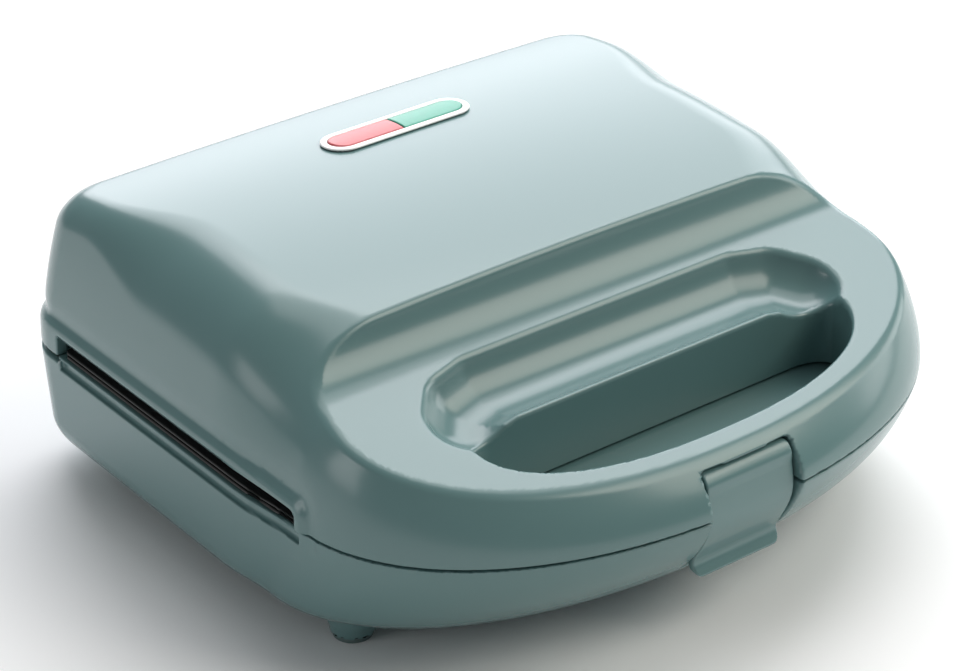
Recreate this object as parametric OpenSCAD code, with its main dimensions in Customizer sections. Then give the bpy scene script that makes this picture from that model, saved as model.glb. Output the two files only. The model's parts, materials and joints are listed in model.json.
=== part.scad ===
// Sandwich toaster: hinged lid over a tub-shaped base, two cooking plates, front latch.
// Millimetres. +Z up, front towards -Y, origin at the bottom centre of the whole object.

/* [Body] */
// Width of the lid and base over the side slots
body_w = 230; // [226:1:240]
// Depth from the front of the handle to the rear wall
body_d = 221; // [218:1:226]
// Height of the parting line between lid and base
part_z = 45; // [43:1:50]
// Gap between the lid's and the base's meeting edges
part_gap = 0.8; // [0.6:0.1:1.2]
// Width of the round front at the parting line
front_w = 226; // [218:1:228]
// Depth of the round front at the parting line
front_d = 73; // [68:0.5:78]
// Exponent of the front curve: 2 is an ellipse, more is squarer
front_n = 2.16; // [2:0.02:2.4]
// Radius of the rear corners in plan
rear_corner_r = 17; // [12:1:20]
// Wall thickness of both shells
wall = 2.5; // [2:0.1:3]

/* [Base] */
// Radius of the swept-up front of the underside
keel_r = 56; // [52:1:58]
// Shift of the front curve's centre line from the parting line to the underside
keel_back = 34; // [26:1:36]
// Radius of the lower side edges
side_r = 12; // [8:1:14]
// Draft of the base's side walls over their height
base_draft = 1.5; // [0.5:0.1:2.5]
// Height of the feet under the base
foot_h = 5.5; // [5:0.5:7]
// Radius of a foot boss
foot_r = 7.5; // [6.5:0.1:8]
// Thickness of the rubber pads
pad_t = 2; // [1.5:0.1:3]
// Distance of the feet from the middle plane
foot_x = 93; // [84:1:95]

/* [Lid] */
// Height of the dome above the parting line
crown_h = 55; // [53:0.2:58]
// Radius of the dome's arch from front to rear
crown_r = 300; // [260:1:420]
// Place of the dome's highest line, from the rear wall
crown_back = 70; // [66:1:80]
// Drop of the dome from its middle to its long edges
crown_drop = 1; // [0.5:0.1:1.5]
// Edge radius of the dome near the handle
edge_r_front = 21; // [18:1:24]
// Edge radius of the dome at the rear corners
edge_r_rear = 8; // [5:0.5:10]
// Radius of the roll between the top and the rear wall
rear_roll_r = 10; // [7:0.5:12]
// Lean of the lid's side walls over their height
lid_lean = 6.5; // [5:0.5:8]
// Lean of the lid's rear wall over its height
rear_lean = 4; // [2:0.5:6]
// Step that the slot lips stand out from the lid's side walls
lip_t = 1.5; // [1:0.1:2]

/* [Handle] */
// Distance from the front to the line where scoop and shelf meet
shelf_d = 74.5; // [72:0.5:78]
// Height of the shelf at its rear line above the parting line
shelf_h = 33; // [31:0.5:34]
// Rise of the shelf per millimetre towards the rear
shelf_slope = 0.264; // [0.22:0.002:0.28]
// Inward lean of the skirt from the parting line to the shelf
skirt_lean = 9.5; // [8:0.5:10]
// Radius of the concave scoop between dome and shelf
scoop_r = 18.5; // [16:0.5:20]
// Width of the handle opening
hole_w = 142; // [134:1:144]
// Depth of the handle opening from its rear wall to its front
hole_d = 33; // [30:0.5:35]
// Exponent of the handle opening's front curve
hole_n = 2.3; // [2:0.05:2.6]
// Distance of the opening's rear wall from the front
hole_back = 50.5; // [49:0.5:53]
// Depth of the rounding at the opening's rear corners
hole_corner_r = 6; // [5:0.5:8]
// Radius of the finger recess
grip_r = 14; // [12:0.5:15]
// Distance between the centres of the finger recess's ends
grip_w = 128; // [110:1:130]

/* [Latch] */
// Width of the latch
latch_w = 33; // [26:0.5:36]
// Radius of the latch's barrel
latch_r = 4; // [3.8:0.1:4.4]
// Thickness of the latch plate
latch_t = 2.6; // [2.2:0.1:3]
// Depth of the barrel's centre behind the front
latch_back = 9.2; // [9:0.1:9.6]
// Height of the barrel's centre above the parting line
latch_up = 8.2; // [7.6:0.1:8.6]
// Radius of the latch pin
latch_pin_r = 1.5; // [1.2:0.1:1.8]
// Clearance round the latch in its pocket
latch_gap = 0.7; // [0.5:0.1:1]
// Clearance between the hook's nose and the catch
hook_gap = 0.3; // [0.25:0.05:0.5]

/* [Plates] */
// Width of a cooking plate
plate_w = 217; // [205:1:217]
// Depth of a cooking plate
plate_d = 124; // [116:1:124]
// Thickness of a plate's rim
rim_t = 4; // [3:0.5:4.5]
// Gap between the closed plates' rims
plate_gap = 0.6; // [0.4:0.1:1]
// Depth of the sandwich pockets
pocket_h = 9; // [7:0.5:10]
// Slope of the pocket walls: inset from rim to bottom
pocket_in = 11; // [8:0.5:13]
// Thickness of the cast metal under a pocket
cast_t = 2.2; // [1.8:0.1:2.5]
// Width of the web between neighbouring pockets
web_w = 8; // [8:0.5:10]
// Height of the side slots above the parting line
slot_h = 6; // [5.5:0.1:7]
// Distance between a plate's two screws
screw_span = 50; // [44:1:52]

/* [Heating] */
// Radius of the heating element's tube
tube_r = 3.3; // [3:0.1:3.6]
// Thickness of the sheet metal
sheet_t = 0.8; // [0.6:0.1:1]

/* [Hinge] */
// Radius of the hinge pins
pin_r = 2; // [1.8:0.1:2.4]
// Outer radius of the hinge barrels
barrel_r = 5.2; // [4.8:0.1:5.4]
// Length of one hinge barrel
barrel_l = 10; // [8:0.5:12]
// Distance of each hinge's middle from the middle plane
hinge_x = 70; // [50:1:78]
// Height of the hinge axis above the parting line
hinge_up = 5; // [5:0.1:6]

/* [Lights and cord] */
// Length of the indicator's bezel
bezel_l = 56; // [50:1:62]
// Width of the indicator's bezel
bezel_w = 15.4; // [14:0.2:17]
// Distance of the indicator from the rear wall
bezel_back = 46; // [44:0.5:52]
// Radius of the bore that the mains lead passes through
cord_r = 3.6; // [3:0.1:4]

/* [Hidden] */

$fn = 48;
e = 0.02;                                // thickness of a pocket's outlines
far = 400;                               // reach of cutters that run past the body

front_y = -body_d / 2;
rear_y = body_d / 2;
base_z = foot_h - part_z;                // underside, from the parting line
front_y0 = front_y + front_d;            // centre line of the round front
body_hw = body_w / 2;
lid_hw = body_hw - lip_t;
lean_ref = 46;                           // height at which the lid's leans are given
lean_z0 = 13;                            // height at which the rear wall begins to lean
shelf_y = front_y + shelf_d;
shelf_pivot = shelf_y - shelf_h / shelf_slope;
shelf_a = atan(shelf_slope);
scoop_y = shelf_y - scoop_r * sin(shelf_a);
scoop_z = shelf_h + scoop_r * cos(shelf_a);
crease_y = scoop_y + scoop_r;
crown_y = rear_y - crown_back;
lid_rear_y = rear_y - 1;                 // the lid stands back behind the base's wall
hole_y = front_y + hole_back;
grip_y = hole_y + 9.5;
grip_z = shelf_h + 1.6;

plate_y = rear_y - 24.5 - plate_d / 2;     // middle of the plates
plate_y0 = plate_y - plate_d / 2;
plate_y1 = plate_y + plate_d / 2;
slot_y0 = plate_y0 - 2;
slot_y1 = plate_y1 + 2;
ledge_z = 1;                             // top of the base's ledges at the slots
lower_rim_z = plate_gap;                 // top of the lower rim, above the parting line
upper_rim_z = 2 * plate_gap;
element_dz = pocket_h + cast_t + tube_r + 0.1;   // rim face to the tube's axis
tray_dz = element_dz + tube_r + 0.1;             // rim face to the tray's inside
tray_w = plate_w - 9;
tray_d = plate_d - 8;
screw_r = 1.95;
boss_r = 5;                              // radius of the bosses for the plate screws
boss_n = 8;                              // sides of the lid's screw bosses
rib_dy = 2.5;                            // the side ribs' place before the opening's rear wall
ledge_w = 3.6;                           // the ledge's reach into the base's wall
ledge_a = -4;                            // underside of the ledge at its inner edge
ledge_b = -12;                           // and at its foot on the wall
rim_n = 12;                              // sides of the thick rim round the cord opening
room_t = 2.3;                            // thickness of the walls round the latch
seat_gap = 0.1;                          // between faces that seat on each other

hinge_y = rear_y - barrel_r - 0.3;
hinge_z = part_z + hinge_up;
arm_t = 4;                               // thickness of hinge legs and flanges
bracket_z = part_z - 22;                 // top of the pads that the brackets stand on
arm_z = part_z + 30;                     // underside of the lid's hinge pads
flange_l = 15;                           // reach of a hinge flange

latch_y = front_y + latch_back;
latch_z = part_z + latch_up;
catch_y = front_y + 12.8;                // front face of the catch
pocket_y = catch_y + 3.1;                // rear of the latch pocket in the base
cord_z = part_z - 22;
grommet_y = rear_y - 3;                  // seat of the grommet's outer flange

bezel_y = rear_y - bezel_back;
bezel_a = -asin((bezel_y - crown_y) / crown_r);
bezel_z = part_z + crown_h - pow(bezel_y - crown_y, 2) / (2 * crown_r);
lens_w = bezel_w - 5;
lens_l = bezel_l - 5;

GREEN = [0.56, 0.66, 0.66];
BLACK = [0.08, 0.08, 0.08];
STEEL = [0.72, 0.72, 0.74];
ZINC = [0.80, 0.80, 0.78];
WHITE = [0.94, 0.94, 0.92];

// ---- curves -------------------------------------------------------------

function mixed(a, b, f) = a + (b - a) * f;
function smooth(u) = let (c = min(max(u, 0), 1)) c * c * (3 - 2 * c);
function arc(cx, cy, r, a0, a1, n) =
    [for (i = [0:n]) let (a = mixed(a0, a1, i / n)) [cx + r * cos(a), cy + r * sin(a)]];

// solid between two flat convex rings of as many points
module band(a, b) {
    n = len(a);
    hull()
        polyhedron(concat(a, b),
                   concat([[for (i = [0:n - 1]) i], [for (i = [n - 1:-1:0]) n + i]],
                          [for (i = [0:n - 1]) [(i + 1) % n, i, n + i, n + (i + 1) % n]]));
}

module skin(rings) {
    for (i = [0:len(rings) - 2])
        band(rings[i], rings[i + 1]);
}

// half a superellipse that bulges towards -Y, from +a to -a
function bow(a, b, n, y0, steps) =
    [for (i = [0:steps])
        let (t = 180 * i / steps, c = cos(t), s = sin(t))
        [a * sign(c) * pow(abs(c), 2 / n), y0 - b * pow(abs(s), 2 / n)]];

// plan outline: round front, sides that widen between ys and ys + 14, rounded rear corners
function plan(hw, fw, fd, y0, ys, yr, rc, steps = 36) =
    concat(bow(fw, fd, front_n, y0, steps),
           [[-mixed(fw, hw, 0.8), ys], [-hw, ys + 14]],
           arc(-hw + rc, yr - rc, rc, 180, 90, 5),
           arc(hw - rc, yr - rc, rc, 90, 0, 5),
           [[hw, ys + 14], [mixed(fw, hw, 0.8), ys]]);

// ---- base shell ---------------------------------------------------------

// inset of the base's front, side and rear at depth z below the parting line
function keel_c() = base_z + keel_r;
function keel(z) = keel_r - sqrt(max(pow(keel_r, 2) - pow(keel_c() - z, 2), 0))
                   - (keel_r - sqrt(pow(keel_r, 2) - pow(keel_c(), 2)));
function flank(z) = base_draft * z / base_z
                    + (z < base_z + side_r
                       ? side_r - sqrt(max(pow(side_r, 2) - pow(base_z + side_r - z, 2), 0)) : 0);
function stern(z) = flank(z) + 1.5 * z / base_z;

function base_ring(z, t) =
    let (y0 = front_y0 + keel_back * keel(z) / keel_r)
    [for (q = plan(body_hw - flank(z) - t, front_w / 2 - flank(z) - t,
                   y0 - front_y - keel(z) - t, y0, max(y0 + 8, front_y0 + 14),
                   rear_y - stern(z) - t, rear_corner_r - t))
        [q[0], q[1], part_z + z]];

module base_body(t) {
    low = base_z + t;
    top = t > 0 ? 2 : -part_gap / 2;
    skin([for (z = concat([top], [for (f = [0.17, 0.34, 0.5, 0.63, 0.74, 0.84, 0.92, 0.97])
                                     low * f], [low]))
        base_ring(z, t)]);
}

// sloping ledge along the plate slots, and the wedge that is open above it
module ledge(sx, open) {
    inner = plate_w / 2 + 0.5;
    outer = body_hw + 3;
    profile = open
        ? [[inner - 4, 5], [inner - 4, -0.6], [inner, -0.6], [inner, ledge_z],
           [body_hw - 0.1, -slot_h], [outer, -slot_h], [outer, 5]]
        : [[inner, ledge_z], [inner + ledge_w, ledge_z], [inner + ledge_w, ledge_b],
           [inner, ledge_a]];
    scale([sx, 1, 1])
        translate([0, slot_y1, part_z])
            rotate([90, 0, 0])
                linear_extrude(slot_y1 - slot_y0)
                    polygon(profile);
}

module foot_places() {
    for (x = [-foot_x, foot_x], y = [front_y0, rear_y - 30])
        translate([x, y, 0])
            children();
}

module base_shell() {
    vent_n = 7;
    vent_step = 9;
    color(GREEN)
    difference() {
        union() {
            difference() {
                base_body(0);
                base_body(wall);
            }
            // deck under the handle opening
            intersection() {
                base_body(0);
                translate([-far / 2, front_y - 5, part_z - 3.2])
                    cube([far, slot_y0 - front_y + 5, 2.6]);
            }
            // edge that carries the deck in front of the plates
            intersection() {
                base_body(0);
                translate([-far / 2, slot_y0 - 2.5, part_z - 14])
                    cube([far, 2.5, 11]);
            }
            // walls of the latch pocket
            intersection() {
                base_body(0);
                translate([-latch_w / 2 - 3 * wall, front_y, part_z - 28])
                    cube([latch_w + 6 * wall, pocket_y + wall - front_y, 28 - part_gap / 2]);
            }
            for (sx = [-1, 1])
                ledge(sx, false);
            foot_places()
                translate([0, 0, pad_t / 2])
                    cylinder(r1 = foot_r - 0.7, r2 = foot_r + 0.7, h = foot_h + 4, $fn = 28);
            // bosses for the plate screws
            for (sy = [-1, 1])
                translate([0, plate_y + sy * screw_span / 2, foot_h + 1])
                    cylinder(r = boss_r, h = part_z + lower_rim_z - tray_dz - sheet_t - seat_gap
                                        - foot_h - 1, $fn = 24);
            // thick rim round the cord opening
            translate([0, grommet_y - 2.4, cord_z])
                rotate([-90, 0, 0])
                    cylinder(r = cord_r + 6.4, h = 2.6, $fn = rim_n);
            // pads that the hinge brackets stand on
            for (sx = [-1, 1])
                translate([sx * hinge_x - sx * barrel_l / 2 - barrel_l / 2 - 1,
                           hinge_y - flange_l - 1, foot_h + 1])
                    cube([barrel_l + 2, flange_l + 2, bracket_z - foot_h - 1]);
        }
        // latch pocket
        translate([-latch_w / 2 - latch_gap, front_y - 5, part_z - 40])
            cube([latch_w + 2 * latch_gap, pocket_y - front_y + 5, 50]);
        // side slots
        for (sx = [-1, 1])
            ledge(sx, true);
        // the rear edge stands clear of the lid's swing
        translate([-far / 2, slot_y1, part_z - 3])
            cube([far, 40, 20]);
        foot_places()
            cylinder(r = foot_r - 1.2, h = pad_t, $fn = 24);
        for (sy = [-1, 1])
            translate([0, plate_y + sy * screw_span / 2, foot_h + wall])
                cylinder(r = screw_r + 0.1, h = part_z, $fn = 24);
        // slots for the hinge brackets' legs in the rear edge
        for (sx = [-1, 1])
            translate([sx * hinge_x - barrel_l - 0.5, hinge_y - barrel_r - 0.8, bracket_z])
                cube([2 * barrel_l + 1, far, far]);
        for (sx = [-1, 1])
            translate([sx * (hinge_x - barrel_dx), hinge_y - flange_l + 4.5, bracket_z - 9])
                cylinder(r = 1.6, h = 12, $fn = 20);
        // opening and flat seat for the cord grommet
        translate([0, grommet_y - 12, cord_z])
            rotate([-90, 0, 0])
                cylinder(r = cord_r + 2.6, h = 30, $fn = 28);
        translate([0, grommet_y, cord_z])
            rotate([-90, 0, 0])
                cylinder(r = cord_r + 4.8, h = 30, $fn = 36);
        // vents in the underside
        for (i = [0:vent_n - 1])
            translate([(i - (vent_n - 1) / 2) * vent_step - 1.25, plate_y - 22, -1])
                cube([2.5, 44, foot_h + wall + 2]);
    }
    // catch for the latch's hook
    color(GREEN)
        translate([-latch_w / 2 - 3, catch_y, part_z - 12.2])
            cube([latch_w + 6, pocket_y - catch_y + 1, 3.4]);
}

module foot_pads() {
    color(BLACK)
        foot_places()
            cylinder(r = foot_r - 1.4, h = pad_t - 0.02);
}

// ---- plates, trays and elements -----------------------------------------

// triangle moved inwards by d on every side
function inset_tri(p, d) =
    let (a = norm(p[1] - p[2]), b = norm(p[2] - p[0]), c = norm(p[0] - p[1]),
         s = (a + b + c) / 2, mid = (a * p[0] + b * p[1] + c * p[2]) / (a + b + c),
         r = sqrt((s - a) * (s - b) * (s - c) / s))
    [for (q = p) mid + (q - mid) * (1 - d / r)];

// the four pockets: two sandwiches, each cut from corner to corner
function pockets() =
    let (x0 = web_w / 2, x1 = plate_w / 2 - 5, y0 = 5 - plate_d / 2, y1 = plate_d / 2 - 5,
         g = web_w * 0.75)
    [for (sx = [-1, 1], k = [0, 1])
        [for (q = k == 0 ? [[x0, y0], [x1 - g, y0], [x0, y1 - g]]
                         : [[x1, y1], [x0 + g, y1], [x1, y0 + g]])
            [sx * q[0], q[1]]]];

module pocket(tri, top_in, low_in, h) {
    hull() {
        linear_extrude(e) polygon(inset_tri(tri, top_in));
        translate([0, 0, -h]) linear_extrude(e) polygon(inset_tri(tri, low_in));
    }
}

// a plate with its rim face at z = 0, pockets going down
module plate_form() {
    difference() {
        union() {
            translate([-plate_w / 2, -plate_d / 2, -rim_t])
                cube([plate_w, plate_d, rim_t]);
            for (tri = pockets())
                translate([0, 0, -e]) pocket(tri, -1, pocket_in - cast_t, pocket_h + cast_t);
        }
        for (tri = pockets())
            translate([0, 0, e]) pocket(tri, 0, pocket_in, pocket_h + e);
        for (sy = [-1, 1])
            translate([0, sy * screw_span / 2, 0]) {
                translate([0, 0, -rim_t - 20]) cylinder(r = screw_r + 0.3, h = 40, $fn = 24);
                translate([0, 0, -2]) cylinder(r1 = screw_r + 0.1, r2 = screw_r + 2.1, h = 2.1,
                                               $fn = 24);
            }
    }
}

module screw_pair(length) {
    for (sy = [-1, 1])
        translate([0, sy * screw_span / 2, 0]) {
            translate([0, 0, -length]) cylinder(r = screw_r, h = length - 1.9);
            translate([0, 0, -2]) cylinder(r1 = screw_r, r2 = screw_r + 1.7, h = 1.9);
        }
}

module tray_form() {
    floor_z = -tray_dz;
    difference() {
        translate([-tray_w / 2, -tray_d / 2, floor_z - sheet_t])
            cube([tray_w, tray_d, -rim_t - seat_gap - floor_z + sheet_t]);
        translate([-tray_w / 2 + sheet_t, -tray_d / 2 + sheet_t, floor_z])
            cube([tray_w - 2 * sheet_t, tray_d - 2 * sheet_t, 40]);
        for (sy = [-1, 1])
            translate([0, sy * screw_span / 2, floor_z - 5])
                cylinder(r = screw_r + 0.35, h = 10);
        // way out for the element's ends
        for (sx = [-1, 1])
            translate([sx * 24 - 7, tray_d / 2 - 5, -element_dz - 5])
                cube([14, 10, 10]);
    }
}

// one sheathed tube bent into a loop, both ends leaving through the rear of the tray
module element_form() {
    bend = 14;
    ex = plate_w / 2 - 36;
    ey0 = -plate_d / 2 + 24;
    ey1 = plate_d / 2 - 26;
    ends = 24;
    translate([0, 0, -element_dz]) {
        for (sx = [-1, 1]) {
            translate([sx * ex, ey0 + bend, 0])
                rotate([-90, 0, 0]) cylinder(r = tube_r, h = ey1 - ey0 - 2 * bend);
            translate([sx * (ex - bend), ey0 + bend, 0])
                rotate([0, 0, sx > 0 ? -90 : 180])
                    rotate_extrude(angle = 90) translate([bend, 0]) circle(r = tube_r);
            translate([sx * (ex - bend), ey1 - bend, 0])
                rotate([0, 0, sx > 0 ? 0 : 90])
                    rotate_extrude(angle = 90) translate([bend, 0]) circle(r = tube_r);
            translate([sx > 0 ? ends + bend : -ex + bend, ey1, 0])
                rotate([0, 90, 0]) cylinder(r = tube_r, h = ex - ends - 2 * bend);
            translate([sx * (ends + bend), ey1 + bend, 0])
                rotate([0, 0, sx > 0 ? 180 : -90])
                    rotate_extrude(angle = 90) translate([bend, 0]) circle(r = tube_r);
            translate([sx * ends, ey1 + bend, 0])
                rotate([-90, 0, 0]) cylinder(r = tube_r, h = 8);
            translate([sx * ends, ey1 + bend + 8, 0])
                rotate([-90, 0, 0]) cylinder(r = 1.5, h = 12);
        }
        translate([-ex + bend, ey0, 0])
            rotate([0, 90, 0]) cylinder(r = tube_r, h = 2 * (ex - bend));
    }
}

module at_lower() {
    translate([0, plate_y, part_z + lower_rim_z]) children();
}

module at_upper() {
    translate([0, plate_y, part_z + upper_rim_z]) mirror([0, 0, 1]) children();
}

module lower_plate() { color(BLACK) at_lower() plate_form(); }
module upper_plate() { color(BLACK) at_upper() plate_form(); }
module lower_plate_screws() { color(STEEL) at_lower() screw_pair(tray_dz + 12); }
module upper_plate_screws() { color(STEEL) at_upper() screw_pair(tray_dz + 12); }
module lower_reflector() { color(ZINC) at_lower() tray_form(); }
module upper_reflector() { color(ZINC) at_upper() tray_form(); }
module lower_element() { color(STEEL) at_lower() element_form(); }
module upper_element() { color(STEEL) at_upper() element_form(); }

// ---- electrics in the base ----------------------------------------------

tray_z = part_z + lower_rim_z - tray_dz - sheet_t;       // underside of the lower tray
thermostat_x = 34;
fuse_x = -34;

module thermostat() {
    color(WHITE)
        translate([thermostat_x, plate_y, tray_z - seat_gap - 6.5]) {
            cylinder(r = 8.2, h = 6.5);
            translate([0, 0, -2.5]) cylinder(r = 6, h = 3);
            for (sx = [-1, 1])
                translate([sx * 8 - 1, -2.5, 0.6]) cube([2, 5, 1]);
        }
}

module thermal_fuse() {
    color(STEEL)
        translate([fuse_x - 10, plate_y, tray_z - seat_gap - 2.4])
            rotate([0, 90, 0]) {
                cylinder(r = 2.3, h = 12);
                translate([0, 0, -5]) cylinder(r = 0.7, h = 22);
            }
}

block_w = 30;
block_y = rear_y - 42;

module terminal_block() {
    color(WHITE)
        translate([-block_w / 2, block_y, foot_h + wall + seat_gap])
            difference() {
                cube([block_w, 15, 11]);
                for (i = [0:2])
                    translate([5 + i * 10, -1, 5]) rotate([-90, 0, 0]) cylinder(r = 2, h = 18);
                for (i = [0:2])
                    translate([5 + i * 10, 7.5, 6]) cylinder(r = 1.8, h = 6);
            }
}

module cord_grommet() {
    color(BLACK)
        translate([0, grommet_y + 1.6, cord_z])
            rotate([90, 0, 0])
                difference() {
                    union() {
                        cylinder(r = cord_r + 4.4, h = 1.6);
                        translate([0, 0, 1.6]) cylinder(r = cord_r + 2.4, h = 2.5);
                        translate([0, 0, 4.1]) cylinder(r = cord_r + 4, h = 1.6);
                    }
                    translate([0, 0, -1]) cylinder(r = cord_r, h = 12);
                }
}

// tube of n sides along a list of points
function ring_at(p, d, r, n) =
    let (w = d / norm(d), u0 = abs(w[2]) < 0.9 ? cross(w, [0, 0, 1]) : cross(w, [0, 1, 0]),
         u = u0 / norm(u0), v = cross(w, u))
    [for (i = [0:n - 1]) p + r * (u * cos(360 * i / n) + v * sin(360 * i / n))];

module wire(path, r, n = 6) {
    m = len(path);
    rings = [for (i = [0:m - 1])
        ring_at(path[i], path[min(i + 1, m - 1)] - path[max(i - 1, 0)], r, n)];
    polyhedron([for (q = rings) each q],
               concat([[for (i = [0:n - 1]) i]],
                      [for (k = [0:m - 2], i = [0:n - 1])
                          [(k + 1) * n + i, (k + 1) * n + (i + 1) % n, k * n + (i + 1) % n,
                           k * n + i]],
                      [[for (i = [n - 1:-1:0]) (m - 1) * n + i]]));
}

// smooth route through four control points
function route(a, b, c, d, steps) =
    [for (i = [0:steps]) let (t = i / steps, s = 1 - t)
        a * s * s * s + b * 3 * s * s * t + c * 3 * s * t * t + d * t * t * t];

module base_wires() {
    wire_r = 1.1;
    port = [0, block_y + 16, foot_h + wall + 5];
    tip_y = plate_y + plate_d / 2 - 4 + 5;
    tip_z = part_z + lower_rim_z - element_dz;
    color("ivory")
        for (sx = [-1, 1]) {
            end = [sx * 24, tip_y + 3.5, tip_z - 1.7];
            wire(route(port + [sx * 10, 0, 0], port + [sx * 10, 7, 1], end + [0, 3, -14],
                       end, 14), wire_r);
        }
}

// ---- hinge ----------------------------------------------------------------

// barrel with its bore, along X, centred on the origin
module barrel(bore) {
    translate([-barrel_l / 2, 0, 0])
        rotate([0, 90, 0])
            difference() {
                cylinder(r = barrel_r, h = barrel_l);
                translate([0, 0, -1]) cylinder(r = bore, h = barrel_l + 2);
            }
}

hinge_play = 0.3;                        // gap between the two barrels of a hinge
barrel_dx = (barrel_l + hinge_play) / 2;

// a leg from the barrel to a flange; up = 1 for the lid's arm, -1 for the base's bracket
module hinge_leaf(bore, reach, up) {
    difference() {
        union() {
            barrel(bore);
            translate([-barrel_l / 2, -barrel_r, up > 0 ? 0 : -reach])
                cube([barrel_l, arm_t, reach]);
            translate([-barrel_l / 2, -flange_l, up > 0 ? reach - arm_t : -reach])
                cube([barrel_l, flange_l - barrel_r + arm_t, arm_t]);
        }
        rotate([0, 90, 0]) translate([0, 0, -barrel_l]) cylinder(r = bore, h = 2 * barrel_l);
        translate([0, -flange_l + 4.5, up * reach - 10]) cylinder(r = 1.7, h = 20);
    }
}

module hinge_brackets() {
    color(STEEL)
        for (sx = [-1, 1])
            translate([sx * (hinge_x - barrel_dx), hinge_y, hinge_z])
                hinge_leaf(pin_r + 0.03, hinge_z - bracket_z - seat_gap, -1);
}

module hinge_arms() {
    color(STEEL)
        for (sx = [-1, 1])
            translate([sx * (hinge_x + barrel_dx), hinge_y, hinge_z])
                hinge_leaf(pin_r + 0.08, arm_z - hinge_z - seat_gap, 1);
}

module hinge_pins() {
    color(STEEL)
        for (sx = [-1, 1])
            translate([sx * hinge_x - barrel_l - 1.5, hinge_y, hinge_z])
                rotate([0, 90, 0]) cylinder(r = pin_r, h = 2 * barrel_l + 3);
}

// head below the flange for the lid, above it for the base
module flange_screw(up) {
    mirror([0, 0, up > 0 ? 1 : 0]) {
        translate([0, 0, -arm_t - seat_gap - 7]) cylinder(r = 1.5, h = arm_t + seat_gap + 7);
        cylinder(r = 3, h = 2);
    }
}

module hinge_bracket_screws() {
    color(ZINC)
        for (sx = [-1, 1])
            translate([sx * (hinge_x - barrel_dx), hinge_y - flange_l + 4.5,
                       bracket_z + seat_gap + arm_t])
                flange_screw(-1);
}

module hinge_arm_screws() {
    color(ZINC)
        for (sx = [-1, 1])
            translate([sx * (hinge_x + barrel_dx), hinge_y - flange_l + 4.5,
                       arm_z - seat_gap - arm_t])
                flange_screw(1);
}

// ---- lid shell --------------------------------------------------------------

// inset of a surface that rounds off with radius r, at distance d from its edge
function round_off(d, r) = d >= r ? 0 : r - sqrt(max(r * r - pow(r - max(d, 0), 2), 0));

// rear wall, upright up to the lip and leaning forward above it
function wall_y(z, t) = lid_rear_y - t - rear_lean * max(z - lean_z0, 0) / (lean_ref - lean_z0);
// height of the dome's arch above the parting line, t is the depth under the skin
function arch_z(y, t) = crown_h - pow(y - crown_y, 2) / (2 * crown_r) - t;
function edge_r(y) = mixed(edge_r_front, edge_r_rear, smooth((y - crown_y) / 40));
function fore(y) = smooth((y - shelf_y) / 40);
function side_x(y, z) =
    mixed(front_w / 2, lid_hw, fore(y))
    - mixed(skirt_lean * pow(lean_ref / shelf_h, 2), lid_lean, fore(y)) * pow(max(z, 0) / lean_ref, 2);

// half of the cross section at y: up the side, over the edge, to the middle plane
function half_section(y, t) =
    let (zt = arch_z(y, t) - round_off(wall_y(lean_ref, t) - y, rear_roll_r),
         low = t > 0 ? -2 : part_gap / 2,
         r = max(edge_r(y) - t, 1), za = arch_z(y, t) - crown_drop)
    concat([for (f = [0, 0.2, 0.38, 0.53, 0.65, 0.75, 0.83, 0.89, 0.94, 0.975, 1])
               let (z = mixed(low, zt - crown_drop, f))
               [side_x(y, z) - t - round_off(za - z, r)
                - round_off(wall_y(z, t) - y, rear_corner_r - t), z]],
           [for (f = [0.6, 0.25])
               [f * (side_x(y, zt) - r), zt - crown_drop * f * f]],
           [[0, zt]]);

function dome_ring(y, t) =
    let (h = half_section(y, t),
         s = concat(h, [for (i = [len(h) - 2:-1:0]) [-h[i][0], h[i][1]]]))
    [for (q = s) [q[0], y, part_z + q[1]]];

top_s = 1.05;                            // how far the handle's outline runs up before the shelf cuts it
lap = 0.7;                               // overlap of dome and handle

module dome(t) {
    y0 = shelf_y - lap;
    y1 = wall_y(lean_ref, t) - rear_roll_r;
    skin([for (y = concat([for (f = [0, 0.12, 0.25, 0.4, 0.55, 0.68, 0.8, 0.91, 1]) mixed(y0, y1, f)],
                          [for (a = [22, 42, 60, 76]) y1 + rear_roll_r * sin(a)],
                          [wall_y(lean_ref, t) - 0.05, mixed(wall_y(lean_ref, t), lid_rear_y - t, 0.5),
                           lid_rear_y - t]))
        dome_ring(y, t)]);
}

// one ring of the handle: planes that fan up from the parting line to the shelf
function shelf_ring(s, t) =
    let (u = s * s, fw = front_w / 2 - skirt_lean * u - t, y0 = front_y0 - 8 * u,
         fd = y0 - (front_y + skirt_lean * u) - t)
    [for (q = concat(bow(fw, fd, front_n, y0, 40), [[-fw, shelf_y], [fw, shelf_y]]))
        [q[0], q[1], part_z + part_gap / 2 * (1 - s) - s * t
                     + s * shelf_slope * (q[1] - shelf_pivot)]];

module handle(t) {
    foot = t > 0 ? [[for (q = shelf_ring(0, t)) q - [0, 0, 3]]] : [];
    difference() {
        hull()
            skin(concat(foot, [for (s = [0, 0.3, 0.52, 0.7, 0.84, 0.94, top_s]) shelf_ring(s, t)]));
        // the shelf
        translate([0, shelf_pivot, part_z])
            rotate([shelf_a, 0, 0])
                translate([-far / 2, 0, -t])
                    cube([far, far, 60]);
    }
}

module scoop_cut(t) {
    translate([-far / 2, scoop_y, part_z + scoop_z])
        rotate([0, 90, 0]) cylinder(r = scoop_r + t, h = far, $fn = 72);
    translate([-far / 2, crease_y + t - 60, part_z + scoop_z])
        cube([far, 60, 60]);
}

module lid_body(t) {
    difference() {
        dome(t);
        scoop_cut(t);
    }
    handle(t);
}

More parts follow.
